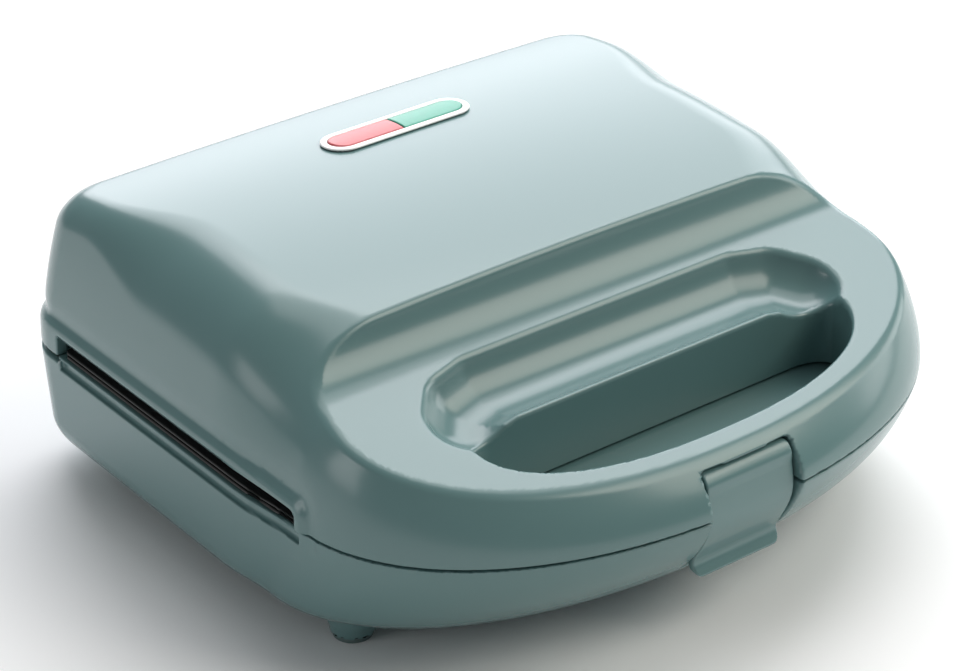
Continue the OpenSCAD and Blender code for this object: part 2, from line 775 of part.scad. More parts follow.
// handle opening with upright walls, t wider all round
module opening_cut(t) {
    hw = hole_w / 2 + t;
    r = hole_corner_r + t;
    yc = hole_y + t - r;
    translate([0, 0, part_z - 2])
        linear_extrude(80)
            polygon(concat(bow(hw, yc - hole_y + hole_d + t, hole_n, yc, 40),
                           [for (i = [0:12])
                               let (a = 180 - 15 * i, sx = i < 6 ? -1 : i > 6 ? 1 : 0)
                               [sx * (hw - 2 * r) + 2 * r * cos(a), yc + r * sin(a)]]));
}

// finger recess: a ball moved along a path whose ends turn forward
module grip_cut(t) {
    path = [for (q = [[-1, -7.5], [-0.93, -2.5], [-0.78, 0], [0.78, 0], [0.93, -2.5], [1, -7.5]])
        [q[0] * grip_w / 2, grip_y + q[1], part_z + grip_z + q[1] * shelf_slope]];
    for (i = [0:len(path) - 2])
        hull() {
            translate(path[i]) sphere(r = grip_r + t, $fn = 32);
            translate(path[i + 1]) sphere(r = grip_r + t, $fn = 32);
        }
}

module latch_room(t) {
    translate([0, latch_y + latch_r + latch_gap + t, part_z])
        rotate([90, 0, 0])
            linear_extrude(latch_back + latch_r + 5)
                rounded(latch_w + 2 * (latch_gap + t), -8, latch_up + latch_r + latch_gap + t,
                        2 + t, 2);
}

// cross section of the lip round a plate slot: x, and the distance from the slot's edge
LIP = [[lid_hw - 2.5, 0], [body_hw - 0.5, 0], [body_hw, 0.6], [body_hw, 2], [body_hw - 0.4, 3.3],
       [body_hw - 1.1, 4.4], [lid_hw - 0.3, 5.6], [lid_hw - 2.5, 7.5]];
lip_r = 2.2;                             // inner radius where the lip turns down at the front

module slot_lip(sx) {
    cy = slot_y0 + lip_r;
    cz = slot_h - lip_r;
    path = concat([[slot_y1, slot_h, 0]],
                  [for (a = [0:15:90]) [cy - lip_r * sin(a), cz + lip_r * cos(a), a]],
                  [[slot_y0, part_gap / 2, 90]]);
    n = len(LIP);
    m = len(path);
    scale([sx, 1, 1])
        polyhedron([for (p = path, q = LIP)
                       [q[0], p[0] - q[1] * sin(p[2]), part_z + p[1] + q[1] * cos(p[2])]],
                   concat([[for (i = [0:n - 1]) i]],
                          [for (k = [0:m - 2], i = [0:n - 1])
                              [(k + 1) * n + i, (k + 1) * n + (i + 1) % n,
                               k * n + (i + 1) % n, k * n + i]],
                          [[for (i = [n - 1:-1:0]) (m - 1) * n + i]]));
}

module lid_shell() {
    boss_h = crown_h - wall - upper_rim_z - tray_dz - sheet_t - seat_gap;
    color(GREEN)
    difference() {
        union() {
            difference() {
                lid_body(0);
                lid_body(wall);
            }
            intersection() {
                lid_body(0);
                union() {
                    opening_cut(wall);
                    grip_cut(wall);
                    latch_room(room_t);
                    for (sy = [-1, 1])
                        translate([0, plate_y + sy * screw_span / 2,
                                   part_z + upper_rim_z + tray_dz + sheet_t + seat_gap])
                            cylinder(r = boss_r, h = 60, $fn = boss_n);
                    for (sx = [-1, 1])
                        translate([sx * (hinge_x + barrel_dx) - barrel_l / 2 - 1,
                                   hinge_y - flange_l - 1, arm_z])
                            cube([barrel_l + 2, flange_l + 20, 40]);
                    // ribs from the opening's wall to the skirt
                    for (x = [-45.3, -23.1, 23.1, 45.3])
                        translate([x - 0.8, front_y, part_z + 4.7])
                            cube([1.6, hole_back - hole_d + 6, 40]);
                    for (sx = [-1, 1])
                        translate([min(sx * hole_w / 2, sx * far / 2), hole_y - rib_dy,
                                   part_z + 4.7])
                            cube([far / 2 - hole_w / 2, 1.6, 40]);
                }
            }
            for (sx = [-1, 1])
                slot_lip(sx);
        }
        opening_cut(0);
        grip_cut(0);
        latch_room(0);
        // side slots
        for (sx = [-1, 1])
            scale([sx, 1, 1])
                translate([plate_w / 2 - 6, slot_y0, part_z - 10])
                    cube([40, slot_y1 - slot_y0, 10 + slot_h]);
        // rear edge stands clear of the base
        translate([-far / 2, slot_y1 - 0.1, part_z - 10])
            cube([far, 40, 11.5]);
        // notches round the hinge barrels
        for (sx = [-1, 1])
            translate([sx * hinge_x - barrel_l - 2, hinge_y - barrel_r - 1, part_z - 10])
                cube([2 * barrel_l + 4, 40, 10 + hinge_up + barrel_r + 1.3]);
        // seat of the indicator
        translate([0, bezel_y, bezel_z])
            rotate([bezel_a, 0, 0])
                translate([0, 0, -8])
                    linear_extrude(16) pill(bezel_l - 3 + 0.4, bezel_w - 3 + 0.4, 24);
        for (sy = [-1, 1])
            translate([0, plate_y + sy * screw_span / 2, part_z])
                cylinder(r = screw_r + 0.1, h = tray_dz + 14, $fn = 24);
        for (sx = [-1, 1])
            translate([sx * (hinge_x + barrel_dx), hinge_y - flange_l + 4.5, arm_z - 1])
                cylinder(r = 1.6, h = 9, $fn = 20);
        translate([-latch_w / 2 - wall - latch_gap - 0.5, latch_y, latch_z])
            rotate([0, 90, 0])
                cylinder(r = latch_pin_r + 0.05, h = latch_w + 2 * (wall + latch_gap) + 1, $fn = 24);
    }
}

// ---- indicator --------------------------------------------------------------

// flat outline with round ends
module pill(l, w, fn = 48) {
    square([l - w, w], center = true);
    for (sx = [-1, 1])
        translate([sx * (l - w) / 2, 0]) circle(d = w, $fn = fn);
}

module at_indicator() {
    translate([0, bezel_y, bezel_z]) rotate([bezel_a, 0, 0]) children();
}

lens_gap = 0.15;

module indicator_bezel() {
    color(WHITE)
        at_indicator()
            difference() {
                union() {
                    translate([0, 0, 0.05]) linear_extrude(0.9) pill(bezel_l, bezel_w);
                    translate([0, 0, -wall - 2.5]) linear_extrude(wall + 3) pill(bezel_l - 3,
                                                                                 bezel_w - 3);
                }
                translate([0, 0, -1.6]) linear_extrude(5) pill(lens_l, lens_w);
                translate([0, 0, -9]) linear_extrude(10) pill(lens_l - 2, lens_w - 2);
            }
}

module lens(side) {
    at_indicator()
        translate([0, 0, -1.6 + lens_gap])
            intersection() {
                linear_extrude(2.6) pill(lens_l - 2 * lens_gap, lens_w - 2 * lens_gap);
                translate([side > 0 ? lens_gap : -lens_l, -lens_w, -1])
                    cube([lens_l - lens_gap, 2 * lens_w, 8]);
            }
}

module red_lens() { color([0.83, 0.42, 0.40]) lens(-1); }
module green_lens() { color([0.35, 0.70, 0.60]) lens(1); }

module lamp_holder() {
    color(WHITE)
        at_indicator()
            translate([0, 0, -wall - 2.5 - seat_gap - 9])
                difference() {
                    translate([-25, -7, 0]) cube([50, 14, 9]);
                    for (sx = [-1, 1])
                        translate([sx * 12 - 9.5, -5, 2]) cube([19, 10, 20]);
                    translate([-4, -8, 4]) cube([8, 16, 20]);
                }
}

module neon_lamps() {
    color("orange")
        at_indicator()
            for (sx = [-1, 1])
                translate([sx * 12 - 6, 0, -wall - 2.5 - seat_gap - 9 + 2 + 0.2 + 2.8])
                    rotate([0, 90, 0]) cylinder(r = 2.8, h = 12);
}

module lid_wires() {
    wire_r = 1.1;
    lamp = [0, bezel_y, bezel_z - 18.8];
    tip_y = plate_y + plate_d / 2 - 4 + 5;
    tip_z = part_z + upper_rim_z + element_dz;
    color("ivory")
        for (sx = [-1, 1]) {
            end = [sx * 24, tip_y + 3.5, tip_z + 1.7];
            wire(route(lamp + [sx * 12, 0, 4], lamp + [sx * 12, 0, -3],
                       end + [0, 2, 10], end, 14), wire_r);
        }
}

// ---- latch --------------------------------------------------------------------

module latch_pin() {
    color(STEEL)
        translate([-latch_w / 2 - wall - latch_gap, latch_y, latch_z])
            rotate([0, 90, 0]) cylinder(r = latch_pin_r, h = latch_w + 2 * (wall + latch_gap));
}

// rectangle of width w from height a to b, rounded by r at the top and by q at the foot
module rounded(w, a, b, r, q) {
    hull()
        for (sx = [-1, 1]) {
            translate([sx * (w / 2 - r), b - r]) circle(r = r, $fn = 32);
            translate([sx * (w / 2 - q), a + q]) circle(r = q, $fn = 32);
        }
}

// side view of the latch plate: bulging front, drawn in at the foot, tab flared out
function latch_line() =
    let (y = latch_back, r = latch_r)
    [[front_y + y - r, latch_up], [front_y + 4, 3], [front_y + 3.4, -2], [front_y + 4.3, -7],
     [front_y + 6.4, -12], [front_y + 8.6, -16.2], [front_y + 9.6, -18.4], [front_y + 9.5, -20.2],
     [front_y + 8, -22.8]];

module latch() {
    line = latch_line();
    back = [for (i = [len(line) - 1:-1:0])
        let (d = line[min(i + 1, len(line) - 1)] - line[max(i - 1, 0)], n = [-d[1], d[0]] / norm(d))
        line[i] + n * latch_t];
    color(GREEN)
    difference() {
        union() {
            intersection() {
                union() {
                    translate([-latch_w / 2, latch_y, latch_z])
                        rotate([0, 90, 0]) cylinder(r = latch_r, h = latch_w);
                    translate([-latch_w / 2, 0, part_z])
                        rotate([90, 0, 90])
                            linear_extrude(latch_w) polygon(concat(line, back));
                }
                translate([0, front_y + 30, part_z])
                    rotate([90, 0, 0])
                        linear_extrude(40)
                            rounded(latch_w, -24, latch_up + latch_r + 0.01, 1.6, 4.5);
            }
            // hook
            translate([-latch_w / 2 + 4, 0, part_z])
                rotate([90, 0, 90])
                    linear_extrude(latch_w - 8)
                        polygon([[front_y + 8.6, -13], [catch_y - hook_gap, -13],
                                 [catch_y - hook_gap, -14], [front_y + 10.8, -17]]);
        }
        translate([-latch_w, latch_y, latch_z])
            rotate([0, 90, 0]) cylinder(r = latch_pin_r + 0.06, h = 2 * latch_w);
    }
}

base_shell();
foot_pads();
lower_plate();
lower_plate_screws();
lower_reflector();
lower_element();
thermostat();
thermal_fuse();
terminal_block();
base_wires();
cord_grommet();
hinge_brackets();
hinge_bracket_screws();
hinge_pins();
lid_shell();
upper_plate();
upper_plate_screws();
upper_reflector();
upper_element();
hinge_arms();
hinge_arm_screws();
indicator_bezel();
red_lens();
green_lens();
lamp_holder();
neon_lamps();
lid_wires();
latch_pin();
latch();
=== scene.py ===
import json
import math
import bpy
import numpy as np
from mathutils import Matrix, Vector

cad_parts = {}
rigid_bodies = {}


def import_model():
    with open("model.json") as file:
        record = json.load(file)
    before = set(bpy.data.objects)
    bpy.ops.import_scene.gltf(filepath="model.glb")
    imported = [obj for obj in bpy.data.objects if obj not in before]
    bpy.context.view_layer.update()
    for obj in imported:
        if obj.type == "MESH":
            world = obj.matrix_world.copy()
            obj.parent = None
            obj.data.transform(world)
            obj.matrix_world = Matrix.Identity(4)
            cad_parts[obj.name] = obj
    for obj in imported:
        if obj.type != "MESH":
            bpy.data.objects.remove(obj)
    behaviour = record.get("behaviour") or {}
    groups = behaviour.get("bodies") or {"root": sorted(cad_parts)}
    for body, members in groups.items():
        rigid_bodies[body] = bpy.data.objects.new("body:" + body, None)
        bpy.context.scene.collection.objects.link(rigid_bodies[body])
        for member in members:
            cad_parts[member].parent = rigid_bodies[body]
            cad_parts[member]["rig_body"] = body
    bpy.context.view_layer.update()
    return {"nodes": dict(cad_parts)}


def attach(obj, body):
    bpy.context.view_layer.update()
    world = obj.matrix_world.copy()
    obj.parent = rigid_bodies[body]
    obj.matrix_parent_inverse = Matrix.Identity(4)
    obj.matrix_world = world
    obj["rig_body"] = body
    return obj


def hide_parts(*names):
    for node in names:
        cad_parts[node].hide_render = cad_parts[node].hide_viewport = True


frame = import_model()
NODES = frame["nodes"]
MM = 0.001

# ---------------------------------------------------------------- driving sizes
# Millimetres. x and y are the frame's. In the fields of the shells and the latch z counts from the parting
# line. Every field is a distance in millimetres, below 0 inside the solid.
PART_Z = 45.0                                       # parting line above the worktop
FRONT_Y, REAR_Y = -110.5, 110.5
FRONT_Y0 = -37.5                                    # centre line of the round front
FRONT_HW, BODY_HW, LID_HW = 113.0, 115.0, 113.5     # half widths of the round front, the base and the lid
FRONT_N = 2.16                                      # power of the round front's superellipse
CORNER_R = 17.0                                     # upright corners at the rear
WALL = 2.5
SLOT_Y0, SLOT_Y1, SLOT_H = -40.0, 88.0, 6.0         # plate slots: front end, rear end, height
PLATE_Y, PLATE_W, PLATE_D = 24.0, 217.0, 124.0
SCREW_PITCH = 25.0                                  # plate screws before and behind the plates' middle
SCREW_YS = (PLATE_Y - SCREW_PITCH, PLATE_Y + SCREW_PITCH)
SCREW_HOLE_R, BOSS_R = 2.05, 5.0
LATCH_Y, LATCH_Z = -101.3, 8.2                      # latch pin
LATCH_ROOM_HW = 17.2                                # half width of the latch's room in lid and base
HINGE_CUT_Y = 98.8                                  # front of the cuts round the hinges
HINGE_BLOCK_Y = 89.0                                # front of the blocks that hold the hinges


# ---------------------------------------------------------------- distance fields
def smooth(u):
    """Soft step from 0 to 1 while u goes from 0 to 1."""
    c = np.clip(u, 0, 1)
    return c * c * (3 - 2 * c)


def rmax(a, b, r):
    """Intersection of two fields with a fillet of radius r."""
    return np.minimum(np.maximum(a, b), -r) + np.hypot(np.maximum(a + r, 0), np.maximum(b + r, 0))


def rmin(a, b, r):
    """Union of two fields with a fillet of radius r."""
    return -rmax(-a, -b, r)


def all_of(*fields):
    """Sharp intersection."""
    return np.maximum.reduce(fields)


def any_of(*fields):
    """Sharp union."""
    return np.minimum.reduce(fields)


def slab(v, lo, hi):
    """Everything between lo and hi."""
    return np.maximum(lo - v, v - hi)


def round_off(d, r):
    """How far a rounding of radius r takes a wall in, at the distance d below its top."""
    return r - np.sqrt(np.maximum(r * r - np.square(np.clip(r - d, 0, r)), 0))


def bowed(x, dy, a, b, n):
    """Distance from a half superellipse with half axes a, b, and how far its normal points forward.
    dy counts forward of its centre line."""
    ex, ey = np.maximum(x / a, 1e-4), np.maximum(dy, 0) / b
    rho = (ex ** n + ey ** n) ** (1 / n)
    gx, gy = (ex / rho) ** (n - 1) / a, (ey / rho) ** (n - 1) / b
    g = np.hypot(gx, gy)
    return (rho - 1) / g, gy / g


def axis_dist(x, y, z, p, q):
    """Distance from the straight line between the points p and q."""
    p, q = np.array(p, float), np.array(q, float)
    d = q - p
    t = np.clip(((x - p[0]) * d[0] + (y - p[1]) * d[1] + (z - p[2]) * d[2]) / d.dot(d), 0, 1)
    return np.sqrt((x - p[0] - t * d[0]) ** 2 + (y - p[1] - t * d[1]) ** 2 + (z - p[2] - t * d[2]) ** 2)


def pill(x, y, length, width):
    """Rectangle with round ends."""
    return np.hypot(np.maximum(np.abs(x) - (length - width) / 2, 0), y) - width / 2


# ---------------------------------------------------------------- fields to meshes
BAND_STEP = 0.28                                    # spacing of the levels near the parting line


def nets(field, lo, hi, h, band=None):
    """Closed quad mesh on the zero level of a field, with the field's own normals.
    Between the two heights of band the levels lie closer together."""
    ax = [np.append(np.arange(a, b, h), b) for a, b in zip(lo, hi)]
    if band:
        z0, z1 = band
        ax[2] = np.concatenate([np.arange(lo[2], z0 - 0.5 * h, h), np.arange(z0, z1, BAND_STEP),
                                np.arange(z1, hi[2] + h, h)])
    n = [len(k) for k in ax]
    f = np.empty(n, np.float32)
    for i in range(0, n[0], 8):                     # a few layers at a time keep the memory low
        gx, gy, gz = np.meshgrid(ax[0][i:i + 8], ax[1], ax[2], indexing="ij")
        f[i:i + 8] = field(gx, gy, gz)
    f[np.abs(f) < 1e-5] = 1e-5
    neg = f < 0
    cells = [k - 1 for k in n]
    # each grid edge that crosses the surface gives one quad between the four cells round it
    ids, pos, quads = [], [], []
    for a in range(3):
        lo_s = [slice(None)] * 3
        hi_s = [slice(None)] * 3
        lo_s[a], hi_s[a] = slice(0, -1), slice(1, None)
        cross = neg[tuple(lo_s)] != neg[tuple(hi_s)]
        b, c = (a + 1) % 3, (a + 2) % 3
        idx = np.array(np.nonzero(cross))
        ok = (idx[b] > 0) & (idx[c] > 0) & (idx[b] < cells[b]) & (idx[c] < cells[c])
        idx = idx[:, ok]
        j = idx.copy()
        j[a] += 1
        f0, f1 = f[tuple(idx)], f[tuple(j)]
        p = idx.T.astype(float)
        p[:, a] += f0 / (f0 - f1)
        ring = []
        for ob, oc in ((0, 0), (1, 0), (1, 1), (0, 1)):
            k = idx.copy()
            k[b] -= ob
            k[c] -= oc
            ring.append(np.ravel_multi_index(tuple(k), cells))
            ids.append(ring[-1])
            pos.append(p)
        q = np.array(ring).T
        leaves = f0 >= 0
        q[leaves] = q[leaves][:, ::-1]
        quads.append(q)
    ids, pos, quads = np.concatenate(ids), np.concatenate(pos), np.concatenate(quads)
    uid, inv = np.unique(ids, return_inverse=True)
    cnt = np.bincount(inv)
    v = np.stack([np.interp(np.bincount(inv, pos[:, k]) / cnt, np.arange(n[k]), ax[k]) for k in range(3)], 1)
    quads = np.searchsorted(uid, quads)
    # two steps along the gradient bring the vertices onto the surface, the third gives the normals
    nrm, e = None, 0.05
    for step in range(3):
        g = np.stack([field(*(v + d).T) - field(*(v - d).T) for d in e * np.eye(3)], 1) / (2 * e)
        m = np.maximum(np.linalg.norm(g, axis=1, keepdims=True), 0.3)
        nrm = g / m
        if step < 2:
            v = v - nrm * np.clip(field(*v.T)[:, None] / m, -0.3 * h, 0.3 * h)
    return v, quads, nrm


def mesh_obj(name, v, faces, nrm, offset=(0, 0, 0)):
    """Smooth object from vertices in millimetres, faces with equal numbers of corners, and normals."""
    me = bpy.data.meshes.new(name)
    v = (np.asarray(v) + np.array(offset)) * MM
    faces = np.asarray(faces)
    me.vertices.add(len(v))
    me.vertices.foreach_set("co", v.astype(np.float32).ravel())
    corners = faces.shape[1]
    me.loops.add(faces.size)
    me.loops.foreach_set("vertex_index", faces.astype(np.int32).ravel())
    me.polygons.add(len(faces))
    me.polygons.foreach_set("loop_start", (np.arange(len(faces)) * corners).astype(np.int32))
    me.polygons.foreach_set("loop_total", np.full(len(faces), corners, np.int32))
    me.update(calc_edges=True)
    me.validate()
    me.polygons.foreach_set("use_smooth", np.ones(len(me.polygons), bool))
    me.normals_split_custom_set_from_vertices([tuple(q) for q in nrm.tolist()])
    ob = bpy.data.objects.new(name, me)
    bpy.context.scene.collection.objects.link(ob)
    return ob


def made(name, field, lo, hi, h, band=None):
    """Object from a field whose z counts from the parting line."""
    v, q, n = nets(field, lo, hi, h, band)
    return mesh_obj(name, v, q, n, (0, 0, PART_Z))


# ---------------------------------------------------------------- materials
IOR = 1.5


def material(name, base, rough, metallic=0, coat=0, coat_rough=0.1, transmission=0, spread=0.03,
             rough_spread=0.04, scale=60, fine=900, bump=0.05, stretch=(1, 1, 1)):
    """Principled material. One noise varies colour and roughness, a finer one gives the bump."""
    m = bpy.data.materials.new(name)
    m.use_nodes = True
    nodes, links = m.node_tree.nodes, m.node_tree.links
    nodes.clear()
    out = nodes.new("ShaderNodeOutputMaterial")
    shader = nodes.new("ShaderNodeBsdfPrincipled")
    links.new(shader.outputs[0], out.inputs[0])
    coords = nodes.new("ShaderNodeTexCoord")
    mapping = nodes.new("ShaderNodeMapping")
    mapping.inputs["Scale"].default_value = stretch
    links.new(coords.outputs["Object"], mapping.inputs[0])
    coarse = nodes.new("ShaderNodeTexNoise")
    coarse.inputs["Scale"].default_value = scale
    coarse.inputs["Detail"].default_value = 3
    links.new(mapping.outputs[0], coarse.inputs["Vector"])
    ramp = nodes.new("ShaderNodeValToRGB")
    dark, light = ramp.color_ramp.elements
    dark.position, light.position = 0.3, 0.7
    dark.color = (*[max(c * (1 - spread), 0) for c in base], 1)
    light.color = (*[min(c * (1 + spread), 1) for c in base], 1)
    links.new(coarse.outputs["Fac"], ramp.inputs[0])
    links.new(ramp.outputs[0], shader.inputs["Base Color"])
    grain = nodes.new("ShaderNodeTexNoise")
    grain.inputs["Scale"].default_value = fine
    grain.inputs["Detail"].default_value = 2
    links.new(mapping.outputs[0], grain.inputs["Vector"])
    rough_range = nodes.new("ShaderNodeMapRange")
    rough_range.inputs["To Min"].default_value = max(rough - rough_spread, 0.02)
    rough_range.inputs["To Max"].default_value = rough + rough_spread
    links.new(coarse.outputs["Fac"], rough_range.inputs["Value"])
    links.new(rough_range.outputs[0], shader.inputs["Roughness"])
    relief = nodes.new("ShaderNodeBump")
    relief.inputs["Strength"].default_value = bump
    relief.inputs["Distance"].default_value = 0.0002
    links.new(grain.outputs["Fac"], relief.inputs["Height"])
    links.new(relief.outputs[0], shader.inputs["Normal"])
    shader.inputs["Metallic"].default_value = metallic
    shader.inputs["IOR"].default_value = IOR
    shader.inputs["Coat Weight"].default_value = coat
    shader.inputs["Coat Roughness"].default_value = coat_rough
    shader.inputs["Transmission Weight"].default_value = transmission
    return m


def srgb(code):
    """Linear colour of a hexadecimal sRGB code."""
    v = [int(code[i:i + 2], 16) / 255 for i in (0, 2, 4)]
    return [c / 12.92 if c <= 0.04045 else ((c + 0.055) / 1.055) ** 2.4 for c in v]


MATERIALS = {
    "shell": material("shell_plastic", srgb("608080"), 0.27, coat=0.3, coat_rough=0.16, spread=0.012,
                      rough_spread=0.008, scale=9, fine=1500, bump=0.015),
    "non_stick": material("non_stick_coating", srgb("262626"), 0.42, spread=0.25, scale=700, fine=1800,
                          bump=0.25),
    "rubber": material("rubber", srgb("1E1E1E"), 0.7, spread=0.15, scale=300, bump=0.2),
    "pad": material("pad_rubber", srgb("586A69"), 0.6, spread=0.1, scale=300, bump=0.2),
    "steel": material("steel", srgb("B9B9BC"), 0.28, metallic=1, spread=0.06, scale=200, bump=0.1,
                      stretch=(1, 8, 8)),
    "sheet": material("zinc_sheet", srgb("C4C5C3"), 0.38, metallic=1, spread=0.12, scale=90, bump=0.08),
    "tube": material("element_sheath", srgb("6E6A66"), 0.45, metallic=1, spread=0.2, scale=160, bump=0.15),
    "ceramic": material("ceramic", srgb("E4E1D8"), 0.45, spread=0.04, scale=120, bump=0.1),
    "bezel": material("bezel_plastic", srgb("EDEFEE"), 0.28, coat=0.3, spread=0.02, bump=0.03),
    "red_lens": material("red_lens_plastic", srgb("CF5F62"), 0.3, transmission=0.1, spread=0.05,
                         scale=400),
    "green_lens": material("green_lens_plastic", srgb("45A88F"), 0.3, transmission=0.1, spread=0.05,
                           scale=400),
    "lamp": material("lamp_glass", srgb("E9C9A0"), 0.12, transmission=0.6, coat=0.3, spread=0.06, scale=200),
    "wire": material("wire_insulation", srgb("D9D4C6"), 0.5, spread=0.05, scale=300, bump=0.1),
}
MATERIAL_NODES = {
    "shell": ("base_shell", "lid_shell", "latch"),
    "pad": ("foot_pads",),
    "rubber": ("cord_grommet",),
    "non_stick": ("lower_plate", "upper_plate"),
    "steel": ("lower_plate_screws", "upper_plate_screws", "thermal_fuse", "hinge_brackets", "hinge_arms",
              "hinge_pins", "hinge_bracket_screws", "hinge_arm_screws", "latch_pin"),
    "sheet": ("lower_reflector", "upper_reflector"),
    "tube": ("lower_element", "upper_element"),
    "ceramic": ("thermostat", "terminal_block", "lamp_holder"),
    "wire": ("base_wires", "lid_wires"),
    "bezel": ("indicator_bezel",),
    "red_lens": ("red_lens",),
    "green_lens": ("green_lens",),
    "lamp": ("neon_lamps",),
}
for kind, names in MATERIAL_NODES.items():
    for name in names:
        NODES[name].data.materials.clear()
        NODES[name].data.materials.append(MATERIALS[kind])


def finish_piece(ob, node, slot):
    """Give a visual piece its material and let it stand for its CAD node."""
    ob.data.materials.append(MATERIALS[slot])
    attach(ob, NODES[node]["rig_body"])
    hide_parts(node)


# ---------------------------------------------------------------- lid shell
CROWN_H, CROWN_R, CROWN_Y = 55.0, 300.0, 40.5       # the dome's arch from front to rear
ROOF_R_FRONT, ROOF_R_REAR = 21.0, 9.0               # rounding between dome and side walls
ROOF_CAMBER, CAMBER_END = 1.0, 1.3                  # the dome's fall towards its sides, and where it stops
ROOF_SCALE = 0.985                                  # brings the roof's field close to a true distance
SHELF_Y, SHELF_H, SLOPE = -36.0, 33.0, 0.264        # the handle's inclined shelf at its rear edge
SHELF_A = math.atan(SLOPE)
PIVOT = SHELF_Y - SHELF_H / SLOPE                   # where the shelf's plane meets the parting line
SHELF_BLEND = 6.0
SKIRT_LEAN, SKIRT_SHIFT = 9.5, 8.0                  # the skirt's way in and its centre line's way forward
SKIRT_MIN_H, SKIRT_END = 5.0, 1.15
# rounding above the skirt where it meets the dome: where it starts, how soon it is full, its top, its radius
SHOULDER_Y, SHOULDER_RUN, SHOULDER_Z, SHOULDER_R = -70.0, 34.0, 44.25, 21.0
# how far the side walls lean in at SIDE_H, before and behind, and the length over which that changes
SIDE_LEAN_FRONT, SIDE_LEAN_REAR, SIDE_H, SIDE_RUN = 18.46, 6.5, 46.0, 40.0
LID_REAR_Y = 109.5
REAR_LEAN, REAR_LEAN_Z, REAR_LEAN_H = 4.0, 13.0, 33.0
SCOOP_R = 18.5                                      # the concave scoop between shelf and dome
SCOOP_Y = SHELF_Y - SCOOP_R * math.sin(SHELF_A)
SCOOP_Z = SHELF_H + SCOOP_R * math.cos(SHELF_A)
CREASE_Y = SCOOP_Y + SCOOP_R
# handle opening: rear edge, half width, depth of its round front and that front's power
HOLE_Y, HOLE_HW, HOLE_FRONT, HOLE_N = -60.0, 71.0, 27.0, 2.3
# half axes of its rear corners, and how deep inside it their formula is trusted
HOLE_CORNER_X, HOLE_CORNER_Y, HOLE_LIMIT = 12.0, 6.0, 30.0
RECESS_R, RECESS_BACK, RECESS_UP = 14.0, 9.5, 1.6   # finger recess: radius and place of its centre line
RECESS_LINE = ((0, 0), (49.9, 0), (59.5, -2.5), (64, -7.5))
SHELF_EDGE_R, HOLE_EDGE_R, INNER_R = 1.5, 1.6, 5.5
# section of the lip round a plate slot: distance outside the slot, how far the skin stands out there
LIP_AT = (-60, 0, 1.6, 2.6, 3.6, 4.6, 5.4, 6.2, 7.4, 9.0, 11, 60)
LIP_OUT = (1.5, 1.5, 1.42, 1.1, 0.5, -0.1, -0.35, -0.4, -0.25, -0.08, 0, 0)
LIP_X, LIP_X_RUN, LIP_Y, LIP_Y_RUN = 92.0, 14.0, -52.0, 8.0
SLOT_R, SLOT_X, SLOT_EDGE_R = 2.2, 102.5, 0.5       # the slot's corner, its inner end and its edge
LATCH_ROOM_Y, LATCH_ROOM_Z, LATCH_ROOM_R = LATCH_Y + 4.7, 12.9, 2.0
LATCH_ROOM_WALL, LATCH_ROOM_EDGE_R = 2.3, 0.6
PIN_HOLE_R, PIN_HOLE_END = 1.55, 20.2
LID_BOSS_Z, LID_SCREW_TOP = 20.2, 33.0
ARM_BLOCK_X, ARM_BLOCK_Z = (69.1, 81.2), 30.0
RIB_XS, RIB_Y, CROSS_RIB_Y, RIB_HALF_T, RIB_Z = (23.1, 45.3), -87.0, -61.7, 0.8, 4.7
INNER_EDGE_R, HINGE_CUT_EDGE_R = 0.8, 0.8
LID_HINGE_CUT_X, LID_HINGE_CUT_Z = (58.0, 82.0), 11.5
LID_EDGE_Z, LID_REAR_EDGE_Z, LID_EDGE_R = 0.42, -0.4, 0.35
# seat of the lights on the dome
BEZEL_Y, BEZEL_Z = 64.5, 99.04
BEZEL_A = -math.asin((BEZEL_Y - CROWN_Y) / CROWN_R)
SEAT_L, SEAT_W, SEAT_HALF_H = 53.4, 12.8, 8.0


def side_fade(x):
    """0 inside, 1 at the side walls."""
    return smooth((x - LIP_X) / LIP_X_RUN)


def slot_dist(y, z):
    """Distance outside the plate slot's outline, which runs on to the rear without an end."""
    return rmax(SLOT_Y0 - y, z - SLOT_H, SLOT_R)


def lip(x, y, z):
    """How far the lip round the plate slot stands out, with a soft groove above it."""
    return np.interp(slot_dist(y, z), LIP_AT, LIP_OUT) * side_fade(x) * smooth((y - LIP_Y) / LIP_Y_RUN)


